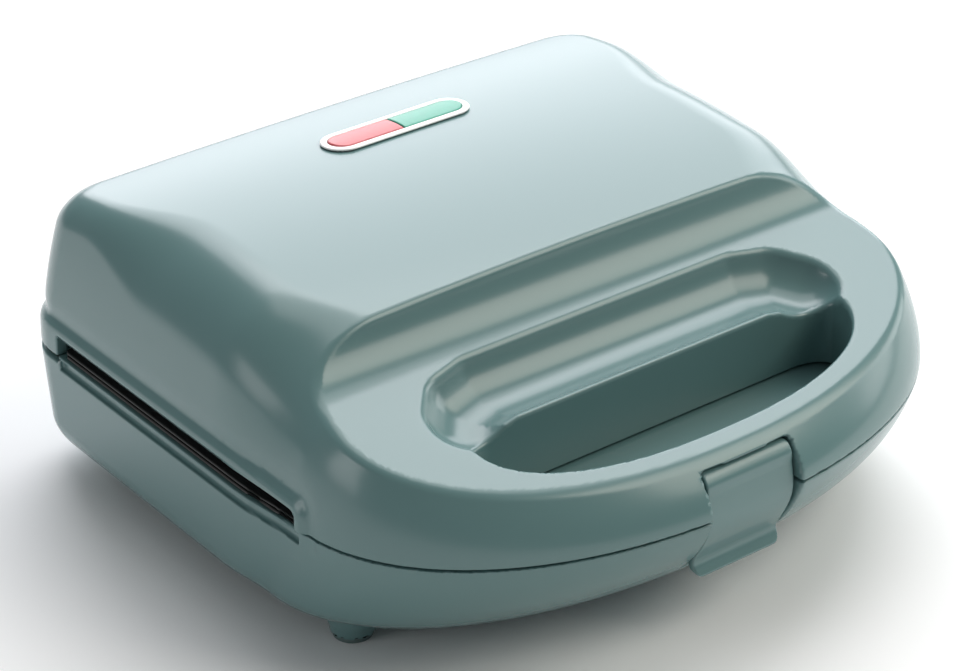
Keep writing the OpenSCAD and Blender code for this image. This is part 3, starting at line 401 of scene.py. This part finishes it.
def lid_skin(x, y, z):
    """The lid's skin without the slot lips: a round front that goes over into the domed box behind it."""
    height = np.maximum(SLOPE * (y - PIVOT), SKIRT_MIN_H)
    s = np.clip(z / height, 0, SKIRT_END)
    u = s * s
    y0 = FRONT_Y0 - SKIRT_SHIFT * u
    d, _ = bowed(x, y0 - y, FRONT_HW - SKIRT_LEAN * u, y0 - FRONT_Y - SKIRT_LEAN * u, FRONT_N)
    d = d / np.sqrt(1 + (2 * SKIRT_LEAN * s / height) ** 2)
    front = d + smooth((y - SHOULDER_Y) / SHOULDER_RUN) * round_off(SHOULDER_Z - z, SHOULDER_R)
    aft = smooth((y - SHELF_Y) / SIDE_RUN)
    up = np.maximum(z, 0)
    lean = SIDE_LEAN_FRONT + (SIDE_LEAN_REAR - SIDE_LEAN_FRONT) * aft
    half_w = FRONT_HW + (LID_HW - FRONT_HW) * aft - lean * (up / SIDE_H) ** 2
    side = (x - half_w) / np.sqrt(1 + (2 * lean * up / SIDE_H ** 2) ** 2)
    rear = y - (LID_REAR_Y - REAR_LEAN * np.maximum(z - REAR_LEAN_Z, 0) / REAR_LEAN_H)
    walls = rmax(side, rear, CORNER_R)
    edge_r = ROOF_R_FRONT + (ROOF_R_REAR - ROOF_R_FRONT) * smooth((y - CROWN_Y) / SIDE_RUN)
    arch = CROWN_H - (y - CROWN_Y) ** 2 / (2 * CROWN_R)
    camber = ROOF_CAMBER * np.minimum(x / (half_w - edge_r), CAMBER_END) ** 2
    roof = (z - arch + camber) * ROOF_SCALE
    return front + (rmax(walls, roof, edge_r) - front) * smooth((y - SHELF_Y + SHELF_BLEND) / SHELF_BLEND)


def lid_top(y, z):
    """The shelf and the concave scoop that rises from it to the dome."""
    dy, dz = y - SCOOP_Y, z - SCOOP_Z
    along = dy * math.cos(SHELF_A) + dz * math.sin(SHELF_A)
    shelf = (z - SHELF_H) * math.cos(SHELF_A) - (y - SHELF_Y) * math.sin(SHELF_A)
    scoop = SCOOP_R - np.hypot(dy, dz)
    return np.where(dz > 0, CREASE_Y - y, np.where(along < 0, shelf, scoop))


def handle_opening(x, y):
    """Round in front, straight behind, with elliptical rear corners."""
    yc = HOLE_Y - HOLE_CORNER_Y
    corner_x = HOLE_HW - HOLE_CORNER_X
    front, _ = bowed(x, yc - y, HOLE_HW, HOLE_FRONT, HOLE_N)
    ex, ey = np.maximum(x - corner_x, 0) / HOLE_CORNER_X, (y - yc) / HOLE_CORNER_Y
    rho = np.maximum(np.hypot(ex, ey), 1e-4)
    corner = (rho - 1) / np.hypot(ex / rho / HOLE_CORNER_X, ey / rho / HOLE_CORNER_Y)
    rear = np.where(x < corner_x, y - HOLE_Y, corner)
    return np.where(y < yc, front, np.maximum(rear, -HOLE_LIMIT))


def finger_recess(x, y, z):
    """A round trough behind the handle opening that turns forward at its ends."""
    ry, rz = HOLE_Y + RECESS_BACK, SHELF_H + RECESS_UP
    pts = [(a, ry + b, rz + b * SLOPE) for a, b in RECESS_LINE]
    return any_of(*[axis_dist(x, y, z, p, q) for p, q in zip(pts, pts[1:])]) - RECESS_R


def lights_seat(x, y, z):
    """Opening in the dome for the surround of the lights."""
    ca, sa = math.cos(BEZEL_A), math.sin(BEZEL_A)
    by, bz = y - BEZEL_Y, z + PART_Z - BEZEL_Z
    along, out = by * ca + bz * sa, -by * sa + bz * ca
    return all_of(pill(x, along, SEAT_L, SEAT_W), np.abs(out) - SEAT_HALF_H)


def lid_inside(x, y, z, opening, recess, latch_room):
    """What stays solid in the lid's cavity: walls round the cuts, screw bosses, hinge blocks and ribs."""
    keep = any_of(opening - WALL, recess - WALL, latch_room - LATCH_ROOM_WALL)
    for yb in SCREW_YS:
        keep = any_of(keep, all_of(np.hypot(x, y - yb) - BOSS_R, LID_BOSS_Z - z))
    keep = any_of(keep, all_of(slab(x, *ARM_BLOCK_X), HINGE_BLOCK_Y - y, ARM_BLOCK_Z - z))
    for xr in RIB_XS:
        keep = any_of(keep, all_of(np.abs(x - xr) - RIB_HALF_T, y - RIB_Y, RIB_Z - z))
    return any_of(keep, all_of(np.abs(y - CROSS_RIB_Y) - RIB_HALF_T, HOLE_HW - x, RIB_Z - z))


def lid_field(x, y, z):
    """The whole lid shell."""
    x = np.abs(x)
    skin, top = lid_skin(x, y, z), lid_top(y, z)
    opening, recess = handle_opening(x, y), finger_recess(x, y, z)
    latch_room = all_of(rmax(x - LATCH_ROOM_HW, z - LATCH_ROOM_Z, LATCH_ROOM_R), y - LATCH_ROOM_Y)
    f = rmax(skin - lip(x, y, z), top, SHELF_EDGE_R)
    f = rmax(f, -opening, HOLE_EDGE_R)
    f = rmax(f, -recess, HOLE_EDGE_R)
    f = rmax(f, -latch_room, LATCH_ROOM_EDGE_R)
    cavity = rmax(skin, top, INNER_R) + WALL
    f = all_of(f, -rmax(cavity, -lid_inside(x, y, z, opening, recess, latch_room), INNER_EDGE_R))
    f = rmax(f, -all_of(slot_dist(y, z), y - SLOT_Y1, SLOT_X - x), SLOT_EDGE_R)
    hinge_cut = all_of(slab(x, *LID_HINGE_CUT_X), HINGE_CUT_Y - y, z - LID_HINGE_CUT_Z)
    f = rmax(f, -hinge_cut, HINGE_CUT_EDGE_R)
    f = all_of(f, -lights_seat(x, y, z))
    f = all_of(f, -all_of(np.hypot(y - LATCH_Y, z - LATCH_Z) - PIN_HOLE_R, x - PIN_HOLE_END))
    for yb in SCREW_YS:
        f = all_of(f, -all_of(np.hypot(x, y - yb) - SCREW_HOLE_R, z - LID_SCREW_TOP))
    edge_z = np.where(y > SLOT_Y1, LID_REAR_EDGE_Z, LID_EDGE_Z)
    return rmax(f, edge_z - z, LID_EDGE_R)


# ---------------------------------------------------------------- base shell
BASE_Z, BASE_TOP = -39.5, -0.4                      # underside and upper edge
KEEL_R, KEEL_BACK = 56.0, 34.0                      # the front's sweep up from the underside
SIDE_R, DRAFT = 12.0, 1.5                           # rounding of the lower side edges, draft of the walls
SIDE_LEAD, SIDE_EASE = 8.0, 14.0                    # where the sides reach their full width
STEEPEST = 20.0                                     # limit of a wall's slope where its field is scaled
BOTTOM_EDGE_R, TOP_EDGE_R = 0.8, 0.5
# soft dent in the wall before the plate slots
DENT_AHEAD, DENT_HALF_L, DENT_DEPTH, DENT_Z, DENT_RISE = 5.6, 2.6, 0.45, -7.0, 4.0
DECK_Z, DECK_TOP, WEB_Z = -3.2, -0.45, (-14.0, -3.0)
LATCH_BLOCK_HW, LATCH_BLOCK_Y, LATCH_BLOCK_Z = 24.0, -92.1, (-28.0, -0.4)
BASE_BOSS_TOP = -18.4
BRACKET_BLOCK_X, BRACKET_CUT_X, BRACKET_Z = (59.0, 71.0), (59.5, 80.5), -22.0
CORD_Z, CORD_RIM_R, CORD_RIM_Y = -22.0, 10.0, (105.1, 107.7)
CORD_HOLE_R, CORD_HOLE_Y, GROMMET_R, GROMMET_Y, GROMMET_EDGE_R = 6.2, 95.0, 8.4, 107.5, 0.3
LEDGE_X, LEDGE_Z, LEDGE_SLOPE, LEDGE_TOP = (109.0, 112.6), -4.0, 2.2, -0.35
# groove in the wall under the slots
GROOVE_Z, GROOVE_HALF_H, GROOVE_DEPTH, GROOVE_R, GROOVE_EDGE_R = -3.1, 1.9, 1.8, 1.3, 0.4
GROOVE_Y = (SLOT_Y0 + 0.4, SLOT_Y1 - 1)
FOOT_X, FOOT_YS = 93.0, (FRONT_Y0, REAR_Y - 30)
FOOT_R, FOOT_TAPER, FOOT_Z, FOOT_TOP, FOOT_EDGE_R, FOOT_FILLET = 6.8, 0.15, -44.0, -35.0, 0.8, 1.5
PAD_R, PAD_TOP = 6.3, -43.0
LATCH_POCKET_Y, LATCH_POCKET_EDGE_R = -94.6, 0.7
REAR_EDGE_Z, REAR_EDGE_R = -2.6, 0.6                # the rear wall's lower upper edge
VENT_PITCH, VENT_HALF_W, VENT_HALF_L, VENTS_HW, VENT_TOP, VENT_EDGE_R = 9.0, 1.25, 22.0, 29.0, 3.0, 0.3
CATCH_HW, CATCH_Y, CATCH_Z, CATCH_R = 19.5, (-97.7, -93.6), (-12.2, -8.8), 0.4


def keel_in(z):
    """How far the front's underside has swept back at the height z."""
    c = BASE_Z + KEEL_R
    at_top = KEEL_R - math.sqrt(KEEL_R ** 2 - c ** 2)
    return KEEL_R - np.sqrt(np.maximum(KEEL_R ** 2 - (c - z) ** 2, 0)) - at_top


def flank_in(z):
    """How far draft and lower rounding take the side walls in at the height z."""
    b = np.clip(BASE_Z + SIDE_R - z, 0, SIDE_R)
    return DRAFT * z / BASE_Z + SIDE_R - np.sqrt(np.maximum(SIDE_R ** 2 - b ** 2, 0))


def base_wall(x, y, z):
    """The base's upright skin: swept front, straight sides and rear."""
    zc = np.maximum(z, BASE_Z)
    keel, flank = keel_in(zc), flank_in(zc)
    y0 = FRONT_Y0 + KEEL_BACK * keel / KEEL_R
    half_w = FRONT_HW - flank
    d, ahead = bowed(x, y0 - y, half_w, y0 - FRONT_Y - keel, FRONT_N)
    full_y = np.maximum(y0 + SIDE_LEAD, FRONT_Y0 + SIDE_EASE)
    side = x - (half_w + (BODY_HW - FRONT_HW) * smooth((y - y0) / (full_y + SIDE_EASE - y0)))
    d = np.where(y < y0, d, side)
    # slopes of the two sweeps, to scale the field to a distance
    drop = BASE_Z + KEEL_R - zc
    keel_slope = np.minimum(drop / np.sqrt(np.maximum(KEEL_R ** 2 - drop ** 2, 1)), STEEPEST)
    b = np.clip(BASE_Z + SIDE_R - zc, 0, SIDE_R)
    flank_slope = np.minimum(b / np.sqrt(np.maximum(SIDE_R ** 2 - b ** 2, 0.25)), STEEPEST)
    slope = np.where(y < y0, ahead * keel_slope + (1 - ahead) * flank_slope, flank_slope)
    rear = y - (REAR_Y - flank - DRAFT * zc / BASE_Z)
    return rmax(d, rear, CORNER_R) / np.sqrt(1 + slope ** 2)


def base_inside(x, y, z):
    """Deck under the handle with its web, latch block, screw bosses, bracket blocks, rim round the cord."""
    add = all_of(DECK_Z - z, y - SLOT_Y0, z - DECK_TOP)
    add = any_of(add, all_of(slab(y, SLOT_Y0 - WALL, SLOT_Y0), slab(z, *WEB_Z)))
    add = any_of(add, all_of(x - LATCH_BLOCK_HW, y - LATCH_BLOCK_Y, slab(z, *LATCH_BLOCK_Z)))
    for yb in SCREW_YS:
        add = any_of(add, all_of(np.hypot(x, y - yb) - BOSS_R, z - BASE_BOSS_TOP))
    add = any_of(add, all_of(slab(x, *BRACKET_BLOCK_X), HINGE_BLOCK_Y - y, z - BRACKET_Z))
    return any_of(add, all_of(np.hypot(x, z - CORD_Z) - CORD_RIM_R, slab(y, *CORD_RIM_Y)))


def with_feet(f, x, y, z):
    """Tapered foot bosses with a seat for the rubber pad."""
    for fy in FOOT_YS:
        r = np.hypot(x - FOOT_X, y - fy)
        cone = rmax(r - FOOT_R - (z - FOOT_Z) * FOOT_TAPER, FOOT_Z - z, FOOT_EDGE_R)
        f = rmin(f, all_of(cone, z - FOOT_TOP), FOOT_FILLET)
        f = all_of(f, -all_of(r - PAD_R, z - PAD_TOP))
    return f


def with_base_cuts(f, x, y, z):
    """Latch pocket, bracket slots, lower rear edge, cord opening, vents and screw holes."""
    f = rmax(f, -all_of(x - LATCH_ROOM_HW, y - LATCH_POCKET_Y), LATCH_POCKET_EDGE_R)
    f = all_of(f, -all_of(slab(x, *BRACKET_CUT_X), HINGE_CUT_Y - y, BRACKET_Z - z))
    f = rmax(f, -all_of(SLOT_Y1 - y, REAR_EDGE_Z - z), REAR_EDGE_R)
    r = np.hypot(x, z - CORD_Z)
    f = all_of(f, -all_of(r - CORD_HOLE_R, CORD_HOLE_Y - y))
    f = rmax(f, -all_of(r - GROMMET_R, GROMMET_Y - y), GROMMET_EDGE_R)
    row = np.abs(np.mod(x + VENT_PITCH / 2, VENT_PITCH) - VENT_PITCH / 2) - VENT_HALF_W
    vents = all_of(row, x - VENTS_HW, np.abs(y - PLATE_Y) - VENT_HALF_L, z - BASE_Z - VENT_TOP)
    f = rmax(f, -vents, VENT_EDGE_R)
    for yb in SCREW_YS:
        f = all_of(f, -all_of(np.hypot(x, y - yb) - SCREW_HOLE_R, BASE_Z + WALL - z))
    return f


def base_field(x, y, z):
    """The whole base shell."""
    x = np.abs(x)
    dent = np.clip(1 - np.square((y - SLOT_Y0 + DENT_AHEAD) / DENT_HALF_L), 0, 1) ** 2
    dent = dent * smooth((z - DENT_Z) / DENT_RISE) * side_fade(x)
    wall = base_wall(x, y, z) + DENT_DEPTH * dent
    body = rmax(wall, BASE_Z - z, BOTTOM_EDGE_R)
    cavity = all_of(wall, BASE_Z - z) + WALL
    top = z - BASE_TOP
    f = all_of(rmax(body, top, TOP_EDGE_R), -cavity)
    f = any_of(f, all_of(base_inside(x, y, z), body, top))
    # ledge along the slots and the groove outside it
    ledge_foot = LEDGE_Z - (x - LEDGE_X[0]) * LEDGE_SLOPE
    ledge = all_of(slab(x, *LEDGE_X), slab(z, ledge_foot, LEDGE_TOP), slab(y, SLOT_Y0, SLOT_Y1))
    f = any_of(f, ledge)
    groove = rmax(np.abs(z - GROOVE_Z) - GROOVE_HALF_H, -GROOVE_DEPTH - wall, GROOVE_R)
    f = rmax(f, -all_of(groove, slab(y, *GROOVE_Y)), GROOVE_EDGE_R)
    f = with_base_cuts(with_feet(f, x, y, z), x, y, z)
    catch = rmax(all_of(x - CATCH_HW, slab(z, *CATCH_Z)), slab(y, *CATCH_Y), CATCH_R)
    return any_of(f, catch)


# ---------------------------------------------------------------- latch
LATCH_HALF_T, LATCH_HW, LATCH_TOP, LATCH_END = 1.3, 16.5, 12.4, -24.1
LATCH_TOP_R, LATCH_END_R, LATCH_EDGE_R = 1.6, 3.4, 0.7
BARREL_R, BARREL_FILLET, BARREL_BORE_R = 3.98, 1.5, 1.56
HOOK_HW, HOOK_Y, HOOK_TOP, HOOK_R = 12.5, (FRONT_Y + 8.6, -98.1), -13.0, 0.3
RAMP_Y, RAMP_Z, RAMP_SLOPE, RAMP_SCALE = -98.0, -13.9, 1.1, 0.67
# the outer face from the pin down to the finger tab: distance behind the front, height
LATCH_FACE = np.array([[5.2, 8.2], [4, 3], [3.4, -2], [4.3, -7], [6.4, -12], [8.6, -16.2], [9.6, -18.4],
                       [9.5, -20.2], [8, -22.8]])


def spline(p, steps=8):
    """Catmull-Rom curve through the points p."""
    p = np.vstack([2 * p[0] - p[1], p, 2 * p[-1] - p[-2]])
    out = []
    for a, b, c, d in zip(p, p[1:], p[2:], p[3:]):
        for t in np.arange(steps) / steps:
            out.append(0.5 * (2 * b + (c - a) * t + (2 * a - 5 * b + 4 * c - d) * t * t
                              + (3 * b - 3 * c + d - a) * t ** 3))
    return np.array(out + [p[-2]])


def latch_mid_line():
    """Line in the middle of the latch's thickness, as y and z."""
    face = spline(LATCH_FACE)
    d = np.gradient(face, axis=0)
    normal = np.stack([-d[:, 1], d[:, 0]], 1) / np.linalg.norm(d, axis=1, keepdims=True)
    return face + normal * LATCH_HALF_T + np.array([FRONT_Y, 0])


LATCH_MID = latch_mid_line()


def latch_field(x, y, z):
    """A curved plate on a barrel round the pin, with a hook behind it."""
    x = np.abs(x)
    near = np.full(np.shape(y), 1e9)
    for p, q in zip(LATCH_MID[:-1], LATCH_MID[1:]):
        d = q - p
        t = np.clip(((y - p[0]) * d[0] + (z - p[1]) * d[1]) / d.dot(d), 0, 1)
        near = np.minimum(near, (y - p[0] - t * d[0]) ** 2 + (z - p[1] - t * d[1]) ** 2)
    to_pin = np.hypot(y - LATCH_Y, z - LATCH_Z)
    f = rmin(np.sqrt(near) - LATCH_HALF_T, to_pin - BARREL_R, BARREL_FILLET)
    outline = rmax(rmax(x - LATCH_HW, z - LATCH_TOP, LATCH_TOP_R), LATCH_END - z, LATCH_END_R)
    f = rmax(f, outline, LATCH_EDGE_R)
    ramp = -(z - RAMP_Z + (y - RAMP_Y) * RAMP_SLOPE) * RAMP_SCALE
    hook = rmax(all_of(x - HOOK_HW, rmax(slab(y, *HOOK_Y), z - HOOK_TOP, HOOK_R)), ramp, HOOK_R)
    return all_of(any_of(f, hook), BARREL_BORE_R - to_pin)


# ---------------------------------------------------------------- cooking plates
# The rim's face is at z = 0 and the pockets go down from it.
POCKET_DEPTH, POCKET_WALL_W = 9.0, 11.0             # depth, and the width of its sloping wall
POCKET_EDGE_R, POCKET_FLOOR_R, POCKET_CORNER_R = 1.2, 2.0, 3.0
SEAM_HALF_W, PLATE_RIM_W, DIAGONAL_GAP = 4.0, 5.0, 6.0
PLATE_T, PLATE_RIM_T, PLATE_SCALE = 2.2, 4.0, 0.85  # wall, rim, and what the pockets' slope does to the field
PLATE_CORNER_R, PLATE_EDGE_R, PLATE_BACK_R = 2.5, 0.9, 0.5
FLANGE_X, FLANGE_SPREAD, FLANGE_Y, FLANGE_RUN, FLANGE_T = 112.3, 1.5, -61.5, 28.0, 0.9
FLANGE_LAP, FLANGE_EDGE_R = 2.5, 0.3
PLATE_HOLE_R, SINK_R, SINK_Z, SINK_DEPTH, SINK_SLOPE, SINK_SCALE = 2.25, 2.05, -2.0, 3.0, 0.95, 0.72
POCKET_X = (SEAM_HALF_W, PLATE_W / 2 - PLATE_RIM_W)
POCKET_Y = (PLATE_RIM_W - PLATE_D / 2, PLATE_D / 2 - PLATE_RIM_W)
POCKETS = (
    np.array([[POCKET_X[0], POCKET_Y[0]], [POCKET_X[1] - DIAGONAL_GAP, POCKET_Y[0]],
              [POCKET_X[0], POCKET_Y[1] - DIAGONAL_GAP]]),
    np.array([[POCKET_X[1], POCKET_Y[1]], [POCKET_X[0] + DIAGONAL_GAP, POCKET_Y[1]],
              [POCKET_X[1], POCKET_Y[0] + DIAGONAL_GAP]]),
)


def inset_dist(x, y, tri):
    """Distance inside a triangle's three edges, with rounded corners."""
    c = np.mean(tri, axis=0)
    out = None
    for p, q in zip(tri, np.roll(tri, -1, axis=0)):
        d = q - p
        n = np.array([-d[1], d[0]]) / np.linalg.norm(d)
        if n.dot(c - p) < 0:
            n = -n
        v = (x - p[0]) * n[0] + (y - p[1]) * n[1]
        out = v if out is None else rmin(out, v, POCKET_CORNER_R)
    return out


def pocket_depth(x, y):
    """How far the pockets go down from the rim's face."""
    depth = np.zeros(np.shape(x))
    for tri in POCKETS:
        d = inset_dist(x, y, tri) * POCKET_DEPTH / POCKET_WALL_W
        d = rmax(d, 0 * d, POCKET_EDGE_R)
        depth = np.maximum(depth, rmin(d, POCKET_DEPTH + 0 * d, POCKET_FLOOR_R))
    return np.clip(depth, 0, POCKET_DEPTH)


def plate_field(x, y, z):
    """Lower plate: cast pockets, a thin flange that reaches into the side slots, two sunk screw holes."""
    x = np.abs(x)
    depth = pocket_depth(x, y)
    edge = rmax(x - PLATE_W / 2, np.abs(y) - PLATE_D / 2, PLATE_CORNER_R)
    back = np.maximum(depth + PLATE_T, PLATE_RIM_T)
    f = rmax(edge, (z + depth) * PLATE_SCALE, PLATE_EDGE_R)
    f = rmax(f, (-back - z) * PLATE_SCALE, PLATE_BACK_R)
    reach = x - FLANGE_X - FLANGE_SPREAD * smooth((y - FLANGE_Y) / FLANGE_RUN)
    flange = rmax(reach, np.abs(y) - PLATE_D / 2, PLATE_CORNER_R)
    flange = all_of(flange, PLATE_W / 2 - FLANGE_LAP - x)
    f = any_of(f, rmax(flange, slab(z, -FLANGE_T, 0), FLANGE_EDGE_R))
    for ys in (-SCREW_PITCH, SCREW_PITCH):
        r = np.hypot(x, y - ys)
        sink = SINK_R + np.clip(z - SINK_Z, 0, SINK_DEPTH) * SINK_SLOPE - r
        f = all_of(f, PLATE_HOLE_R - r, sink * SINK_SCALE)
    return f


# ---------------------------------------------------------------- indicator
# z counts along the seat's normal from the lid's skin.
SURROUND_L, SURROUND_W, SURROUND_H, SURROUND_EDGE_R = 56.0, 15.4, 0.93, 0.75
SLEEVE_L, SLEEVE_W, SLEEVE_Z = 53.0, 12.4, (-5.0, 0.5)
LENS_SEAT_L, LENS_SEAT_W, LENS_SEAT_Z, LENS_SEAT_EDGE_R = 51.0, 10.4, -1.6, 0.35
LIGHT_HOLE_L, LIGHT_HOLE_W = 49.0, 8.4
SKIN_GAP = 0.06
LENS_L, LENS_W, LENS_H, LENS_CROWN, LENS_HALF_W, LENS_Z = 50.7, 10.1, 0.95, 0.35, 5.0, -1.45
LENS_SEAM, LENS_CORNER_R, LENS_EDGE_R = 0.15, 0.5, 0.55


def surround_field(x, y, z):
    """White surround: a rounded rim on the dome, a sleeve through it and a seat for the lenses."""
    out = pill(x, y, SURROUND_L, SURROUND_W)
    rim = rmax(out, all_of(z - SURROUND_H, SKIN_GAP - z), SURROUND_EDGE_R)
    rim = all_of(rim, SKIN_GAP - z)
    sleeve = all_of(pill(x, y, SLEEVE_L, SLEEVE_W), slab(z, *SLEEVE_Z))
    seat = all_of(pill(x, y, LENS_SEAT_L, LENS_SEAT_W), LENS_SEAT_Z - z)
    f = rmax(any_of(rim, sleeve), -seat, LENS_SEAT_EDGE_R)
    return all_of(f, -pill(x, y, LIGHT_HOLE_L, LIGHT_HOLE_W))


def lens_field(side):
    """Crowned half of a pill: the red one on side -1, the green one on side 1."""
    def field(x, y, z):
        crown = LENS_H + LENS_CROWN * (1 - np.clip(np.abs(y) / LENS_HALF_W, 0, 1) ** 2)
        half = rmax(pill(x, y, LENS_L, LENS_W), LENS_SEAM - side * x, LENS_CORNER_R)
        return all_of(rmax(half, z - crown, LENS_EDGE_R), LENS_Z - z)
    return field


def on_seat(name, field, lo, hi, h):
    """Object from a field in the seat's own axes, put in its place on the dome."""
    v, q, n = nets(field, lo, hi, h)
    c, s = math.cos(BEZEL_A), math.sin(BEZEL_A)
    rot = np.array([[1, 0, 0], [0, c, -s], [0, s, c]])
    return mesh_obj(name, v @ rot.T, q, n @ rot.T, (0, BEZEL_Y, BEZEL_Z))


# ---------------------------------------------------------------- the visual pieces
SHELL_GRID = 1.04
LATCH_GRID = 0.5
PLATE_GRID = 1.0
LIGHT_GRID = 0.3
LID_BAND, BASE_BAND = (-0.6, 1.6), (-1.8, 0.0)      # heights with finer levels, at the parting line
LOWER_PLATE_Z, UPPER_PLATE_Z = PART_Z + 0.6, PART_Z + 1.2

# The two triples of numbers are the box that is searched for the surface.
lid = made("lid_moulding", lid_field, (-117, -112.5, -2), (117, 111.5, 56.5), SHELL_GRID, LID_BAND)
finish_piece(lid, "lid_shell", "shell")
base = made("base_moulding", base_field, (-117, -112.5, -46), (117, 112.5, 3), SHELL_GRID, BASE_BAND)
finish_piece(base, "base_shell", "shell")
latch = made("latch_moulding", latch_field, (-18, -110.5, -26), (18, -95.5, 14), LATCH_GRID)
finish_piece(latch, "latch", "shell")

plate_v, plate_q, plate_n = nets(plate_field, (-115.6, -63.1, -12.6), (115.6, 63.1, 1.2), PLATE_GRID)
lower = mesh_obj("lower_plate_casting", plate_v, plate_q, plate_n, (0, PLATE_Y, LOWER_PLATE_Z))
finish_piece(lower, "lower_plate", "non_stick")
FACE_DOWN = np.array([1, 1, -1])                    # the upper plate is the lower one's mirror image
upper = mesh_obj("upper_plate_casting", plate_v * FACE_DOWN, plate_q[:, ::-1], plate_n * FACE_DOWN,
                 (0, PLATE_Y, UPPER_PLATE_Z))
finish_piece(upper, "upper_plate", "non_stick")

surround = on_seat("indicator_surround", surround_field, (-29, -8.6, -5.6), (29, 8.6, 1.6), LIGHT_GRID)
finish_piece(surround, "indicator_bezel", "bezel")
red = on_seat("red_lens_cap", lens_field(-1), (-26.5, -6, -2.2), (1, 6, 2.2), LIGHT_GRID)
finish_piece(red, "red_lens", "red_lens")
green = on_seat("green_lens_cap", lens_field(1), (-1, -6, -2.2), (26.5, 6, 2.2), LIGHT_GRID)
finish_piece(green, "green_lens", "green_lens")

# ---------------------------------------------------------------- floor
FLOOR_SIZE = 12                                     # metres
bpy.ops.mesh.primitive_plane_add(size=FLOOR_SIZE, location=(0, 0, 0))
floor = bpy.context.object
floor.name = "floor"
PAPER = material("floor_paper", (0.9, 0.9, 0.9), 0.8, spread=0.01, scale=3, fine=40, bump=0)
floor.data.materials.append(PAPER)


# ---------------------------------------------------------------- light
def white_world(lit_colour, lit_strength):
    """White to the camera and through clear pieces, a dim fill light to everything else."""
    world = bpy.data.worlds.new("studio")
    bpy.context.scene.world = world
    world.use_nodes = True
    nodes, links = world.node_tree.nodes, world.node_tree.links
    nodes.clear()
    out = nodes.new("ShaderNodeOutputWorld")
    ray = nodes.new("ShaderNodeLightPath")
    seen = nodes.new("ShaderNodeBackground")
    seen.inputs["Color"].default_value = (1, 1, 1, 1)
    seen.inputs["Strength"].default_value = 1.0
    lit = nodes.new("ShaderNodeBackground")
    lit.inputs["Color"].default_value = (*lit_colour, 1)
    lit.inputs["Strength"].default_value = lit_strength
    mix = nodes.new("ShaderNodeMixShader")
    either = nodes.new("ShaderNodeMath")
    either.operation = "MAXIMUM"
    links.new(ray.outputs["Is Camera Ray"], either.inputs[0])
    links.new(ray.outputs["Is Transmission Ray"], either.inputs[1])
    links.new(either.outputs[0], mix.inputs[0])
    links.new(lit.outputs[0], mix.inputs[1])
    links.new(seen.outputs[0], mix.inputs[2])
    links.new(mix.outputs[0], out.inputs[0])


def softbox(name, at, target_z, size, power, colour=(1, 1, 1)):
    """Area light that looks at the object's axis. Metres and watts."""
    light = bpy.data.lights.new(name, "AREA")
    light.shape = "RECTANGLE"
    light.size, light.size_y = size
    light.energy = power
    light.color = colour
    ob = bpy.data.objects.new(name, light)
    bpy.context.scene.collection.objects.link(ob)
    ob.location = at
    ob.rotation_euler = (Vector((0, 0, target_z)) - Vector(at)).to_track_quat("-Z", "Y").to_euler()


white_world((0.93, 0.97, 1), 0.2)
softbox("overhead", (0.5, 0.5, 1.8), 0.05, (1.6, 1.4), 14)
softbox("rear_softbox", (0.97, 1.15, 1.05), 0.08, (2.0, 1.9), 41, (0.95, 0.955, 1))
softbox("front_high", (1.05, -0.95, 1.35), 0.05, (1.3, 1.0), 16, (1, 0.96, 0.86))
softbox("left", (-1.6, 0.3, 0.5), 0.05, (0.7, 0.7), 3.5)
softbox("right", (1.6, -0.4, 0.5), 0.05, (0.9, 0.7), 6)

# ---------------------------------------------------------------- camera
CAMERA_AT = (-0.5115, -0.6358, 0.5146)              # metres, fitted to the photo
LENS_MM, SENSOR_MM, CLIP_END = 111.77, 36, 50
BACK = Vector((-0.536, -0.685, 0.494)).normalized() # from the object towards the camera
RIGHT = Vector((0.788, -0.616, 0)).normalized()
UP = BACK.cross(RIGHT).normalized()

camera = bpy.data.cameras.new("camera")
camera.lens = LENS_MM
camera.sensor_width = SENSOR_MM
camera.clip_end = CLIP_END
camera_ob = bpy.data.objects.new("camera", camera)
bpy.context.scene.collection.objects.link(camera_ob)
turn = Matrix((RIGHT, UP, BACK)).transposed()
camera_ob.matrix_world = Matrix.Translation(CAMERA_AT) @ turn.to_4x4()
bpy.context.scene.camera = camera_ob
bpy.context.scene.view_settings.view_transform = "Standard"
